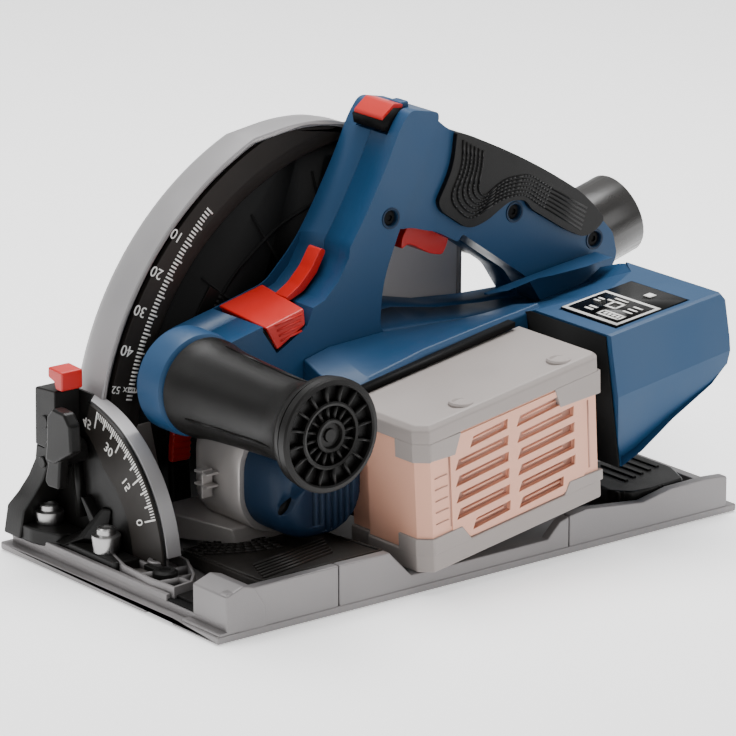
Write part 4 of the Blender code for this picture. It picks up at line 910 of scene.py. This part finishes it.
def make_rear_housing():
    outline = [(74.6, 114.2), (76, 104), (80, 80.3), (83, 55), (85.6, 42), (99, 47.7), (120, 61),
        (146.4, 74.7), (156.8, 84), (157.3, 91.6), (156.6, 99), (153, 120), (150, 123.4), (110, 118.8)]
    crease = (2, 9)
    near = []
    for x, z in outline:
        depth = -100 + max(0, (80.3 + (x - 80) * 0.147 - z)) * 0.22
        near.append((x, depth, z))
    shrink = [(x, -97.6, z) for x, z in outline]
    sections = [[(x, y, z) for x, z in outline] for y in (0.6,)] + [shrink]
    near = [(115 + (x - 115) * 0.985, y, 82 + (z - 82) * 0.985) for x, y, z in near]
    body = loft("body", [*sections, near], BLUE, crease=crease)
    bevel(body, 0.9, 3, 12)
    cut(body, prism("recess", [(83, 121), (133, 127), (133, 120.2), (83, 114.4)], "Y", -94.5, -49.5, BLUE, 0))
    valley = [[(68, -40, 126), (68, 4, 112), (68, 4, 100), (68, -40, 113.4)],
        [(84, -42, 126), (84, 4, 112), (84, 4, 101), (84, -42, 115.3)],
        [(112, -52, 129), (112, 4, 116), (112, 4, 102), (112, -52, 119.1)],
              [(142, -38, 129), (142, 4, 118), (142, 4, 106), (142, -38, 122.4)],
              [(164, -2, 129), (164, 4, 120), (164, 4, 112), (164, -2, 121)]]
    # The housing's front wall and the bay wall are near-black, painted shade in the gap beside the pack.
    wall = loft("wall", [[(73.8, y, 113), (74.6, y, 113), (84.6, y, 43), (84, y, 41.5)] for y in (-97, 0)],
        SHADE_BLACK)
    for piece in (body, wall):
        cut(piece, loft("valley", valley, BLUE))
    fillet = loft("bay_wall", [[(69, y, 98), (76.4, y, 98), (84.8, y, 42.6), (79, y, 40)] for y in (-36, 0)],
        SHADE_BLACK)
    pieces = [body, wall, fillet]
    # Near-black strips along the housing's lower edge: painted shade in its slits.
    for i in range(5):
        x = 94 + i * 9
        z = 45.2 + (x - 94) * 0.6
        pieces.append(bar((x, z), (x + 5, z + 3), 1.2, -80, -20, "Y", SHADE_BLACK))
    on("saw_unit", merge("electronics_housing", pieces), "rear_housing")
    turn = math.atan((123.4 - 114.7) / (150 - 74.4))
    along = Vector((math.cos(turn), 0, math.sin(turn)))
    normal = Vector((-math.sin(turn), 0, math.cos(turn)))
    corner = Vector((84, -94, 115.8))

    def tile(u0, v0, u1, v1, low, high, look):
        sections = []
        for lift in (low, high):
            base = corner + normal * lift
            sections.append([tuple(base + along * u + Vector((0, v, 0))) for u,
                v in ((u0, v0), (u1, v0), (u1, v1), (u0, v1))])
        return loft("tile", sections, look)

    panel = [tile(0, 0, 48, 44, -0.6, 0.6, GLASS), tile(0.4, 0.4, 30.5, 43.6, 0.6, 0.75, WHITE),
        tile(2.6, 2.6, 28.2, 41.4, 0.75, 0.95, GLASS),
             tile(37.5, 17, 42, 22.4, 0.6, 0.85, WHITE)]
    marks = [(5, 5, 6.2, 22), (5, 5, 11, 6.2), (9.8, 5, 11, 22), (5, 20.8, 11, 22)]
    marks += [(7, 7.4 + i * 3.2, 9.2, 9.4 + i * 3.2) for i in range(4)]
    marks += [(14.5, 18, 22.5, 19.4), (14.5, 18, 15.9, 27), (21.1, 18, 22.5, 32), (14.5, 25.6, 22.5, 27),
        (17, 33.5, 18.4, 38), (20, 33.5, 21.4, 38)]
    marks += [(15, 6, 16.2, 13), (18.6, 6, 19.8, 13), (22.2, 6, 23.4, 13), (6.5, 27, 8, 33),
        (9.6, 27, 11.1, 33), (24.6, 20, 25.8, 30)]
    for u0, v0, u1, v1 in marks:
        panel.append(tile(u0, v0, u1, v1, 0.95, 1.1, WHITE))
    on("saw_unit", merge("display", panel), "display_panel")


def make_battery():
    tilt = math.radians(9.4)
    lean = math.radians(3.0)
    along = Vector((math.cos(tilt), 0, math.sin(tilt)))
    upward = Vector((-math.sin(lean), 0, math.cos(lean)))
    corner = Vector((-38.9, -100, 11.5))
    plan = [(0, 0), (110, 0), (113.4, 4), (113.4, 65), (-2, 65), (-2, 50), (-5.2, 47), (-5.2, 8)]

    def block(name, shape, low, high, look, soften=0.7, top_inset=0.0):
        rows = [(low, 0.0), (high - top_inset, 0.0)] + ([(high, top_inset)] if top_inset else [])
        sections = []
        for h, amount in rows:
            ring = inset(shape, amount) if amount else shape
            sections.append([tuple(corner + along * u + Vector((0, v, 0)) + upward * h) for u, v in ring])
        obj = loft(name, sections, look)
        return bevel(obj, soften, 2, 20) if soften else obj

    def plate(outline, low, high, look, soften=0.0):
        """A plate on the near face, drawn as (along, up)."""
        sections = [[tuple(corner + along * u + Vector((0, v, 0)) + upward * h) for u, h in outline]
            for v in (low, high)]
        obj = loft("plate", sections, look)
        return bevel(obj, soften, 2, 30) if soften else obj

    wrap = [(0, 0), (0.9, 0.3), (3, 9), (-1, 22), (-5.2, 22), (-5.2, 8)]
    top = [block("top", plan, 67.4, 77, PACK_GREY, 0.8, 2.4)]
    top += [
        plate([(0.4, 68), (0.2, 58.4), (16, 56.8), (20.4, 67.4)], -0.08, 4, PACK_GREY, 0.5),
        plate([(82, 68), (85.4, 57), (112, 55.4), (112.4, 68)], -0.08, 4, PACK_GREY, 0.5),
        block("tab", wrap, 58, 68, PACK_GREY, 0.4),
    ]
    for u, v in ((29.6, 10.6), (94, 10.6)):
        spot = corner + along * u + Vector((0, v, 0)) + upward * 76.9
        profile = [(0, spot.z - 0.2), (4, spot.z), (5, spot.z + 0.9), (6.2, spot.z + 0.9), (6.8, spot.z),
            (6.8, spot.z - 3), (0, spot.z - 3)]
        top.append(lathe("dimple", profile, (spot.x, spot.y), "Z", PACK_GREY, 32))
    on("battery", merge("pack_top", top), "battery_top")
    foot = [block("foot", plan, 0, 9.6, PACK_GREY, 0.8)]
    foot += [
        plate([(0.4, 9), (0.4, 17.6), (19, 17.8), (25, 9)], -0.08, 3, PACK_GREY, 0.5),
        plate([(86, 9), (90, 15.6), (112, 14.6), (112, 9)], -0.08, 3, PACK_GREY, 0.5),
        block("tab", wrap, 9, 17.6, PACK_GREY, 0.4),
    ]
    on("battery", merge("pack_foot", foot), "battery_foot")
    band = block("band", inset(plan, 1.2), 9.9, 67.1, PACK_RED, 0.6)
    slots = []
    for row in range(6):
        h = 13.4 + row * 8.7
        left = 26 if row in (0, 5) else 16
        right = 86 if row in (0, 5) else 94
        for start, end in ((left, 50.5), (56.5, right)):
            slots.append(plate([(start, h), (end, h + 1.4), (end + 0.6, h + 6.4), (start + 2.4, h + 5.2)], -1,
                3.6, PACK_RED))
    frames = []
    for slot in slots:
        copy = slot.copy()
        copy.data = slot.data.copy()
        bpy.context.scene.collection.objects.link(copy)
        frames.append(copy)
    cut(band, *slots)
    raised = plate([(13, 11), (100, 11), (100, 66.4), (13, 66.4)], 0.5, 2.2, PACK_RED)
    cut(raised, *frames)
    # The darker salmon plate behind the band shows on the slot floors as painted shade.
    pieces = [band, bevel(raised, 0.5, 2), plate([(14, 12.4), (98, 12.4), (98, 66), (14, 66)], 3.4, 3.9,
        PACK_SHADE_AND_SEAMS)]
    for row in range(6):
        h = 15.4 + row * 8.7
        for start in (22, 62):
            pieces.append(plate([(start, h), (start + 26, h + 1), (start + 26, h + 2), (start, h + 1)], 2.4,
                3.6, PACK_RED))
    for i in range(5):
        h = 24 + i * 6
        pieces.append(plate([(3, h), (11, h), (11, h + 0.5), (3, h + 0.5)], 0.8, 1.4, PACK_SHADE_AND_SEAMS))
    pieces.append(plate([(12.2, 20), (12.8, 20), (12.8, 58), (12.2, 58)], 0.9, 1.4, PACK_SHADE_AND_SEAMS))
    pieces.append(plate([(103.6, 18), (104.4, 18), (104.4, 54), (103.6, 54)], 0.9, 1.4, PACK_SHADE_AND_SEAMS))
    on("battery", merge("pack_band", pieces), "battery_cells")


# Stage


def floor_look():
    made = material("floor_white", "ffffff", 0.9, bump=0.0, mottle=0.0)
    shader = made.node_tree.nodes["Principled BSDF"]
    shader.inputs["Emission Color"].default_value = (1, 1, 1, 1)
    shader.inputs["Emission Strength"].default_value = 0.6
    return made


def make_stage():
    work = bmesh.new()
    bmesh.ops.create_grid(work, x_segments=1, y_segments=1, size=8000)
    floor = new_object("floor", work, floor_look())
    floor.location.z = -0.0005
    world = bpy.data.worlds.new("studio")
    world.use_nodes = True
    world.node_tree.nodes["Background"].inputs["Color"].default_value = (1, 1, 1, 1)
    world.node_tree.nodes["Background"].inputs["Strength"].default_value = 0.6
    bpy.context.scene.world = world
    for name, place, size, power in (("top", (0.3, 0.3, 1.5), 1.2, 42), ("right", (1.3, -1.3, 0.9), 0.9, 5),
        ("left", (-1.0, 0.6, 1.2), 0.6, 5)):
        light = bpy.data.lights.new(name, "AREA")
        light.energy = power
        light.size = size
        lamp = bpy.data.objects.new(name, light)
        lamp.location = place
        lamp.rotation_euler = (Vector((0, 0, 0.08)) - Vector(place)).to_track_quat("-Z", "Y").to_euler()
        bpy.context.scene.collection.objects.link(lamp)
    lens = bpy.data.cameras.new("camera")
    lens.lens = 264.1
    lens.sensor_width = 36
    lens.clip_end = 100
    camera = bpy.data.objects.new("camera", lens)
    camera.location = (-1.6425, -2.0837, 0.8895)
    target = Vector((-0.00276, 0, 0.08793))
    camera.rotation_euler = (target - Vector(camera.location)).to_track_quat("-Z", "Y").to_euler()
    bpy.context.scene.collection.objects.link(camera)
    bpy.context.scene.camera = camera


def paint_frame():
    """Nodes that stay as the frame has them take these looks."""
    looks = {
        STEEL: ("bevel_pin_front", "bevel_pin_rear", "plunge_pivot_pin", "return_spring", "motor_bearing",
        "motor_rotor", "pinion",
                "intermediate_gear", "spindle_gear", "spindle_bearing", "spindle", "inner_flange",
                "outer_flange", "arbor_bolt"),
        BLADE: ("saw_blade",),
        BLACK: ("rear_bevel_bracket", "rear_bevel_knob", "cooling_fan"),
        GREY: ("bevel_quadrant_rear",),
        DARK_CAST: ("gear_cover",),
        COPPER: ("motor_stator",),
        BOARD: ("controller_board",),
    }
    for look, names in looks.items():
        for name in names:
            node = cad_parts[name]
            node.data.materials.clear()
            node.data.materials.append(look)


make_base()
make_tray()
make_front_bracket()
make_quadrant()
make_guard()
make_scale()
make_depth_stop()
make_dust_port()
make_body()
make_lever_and_buttons()
make_grip()
make_aux_handle()
make_motor()
make_gear_case()
make_shoulder()
make_rear_housing()
make_battery()
paint_frame()
make_stage()
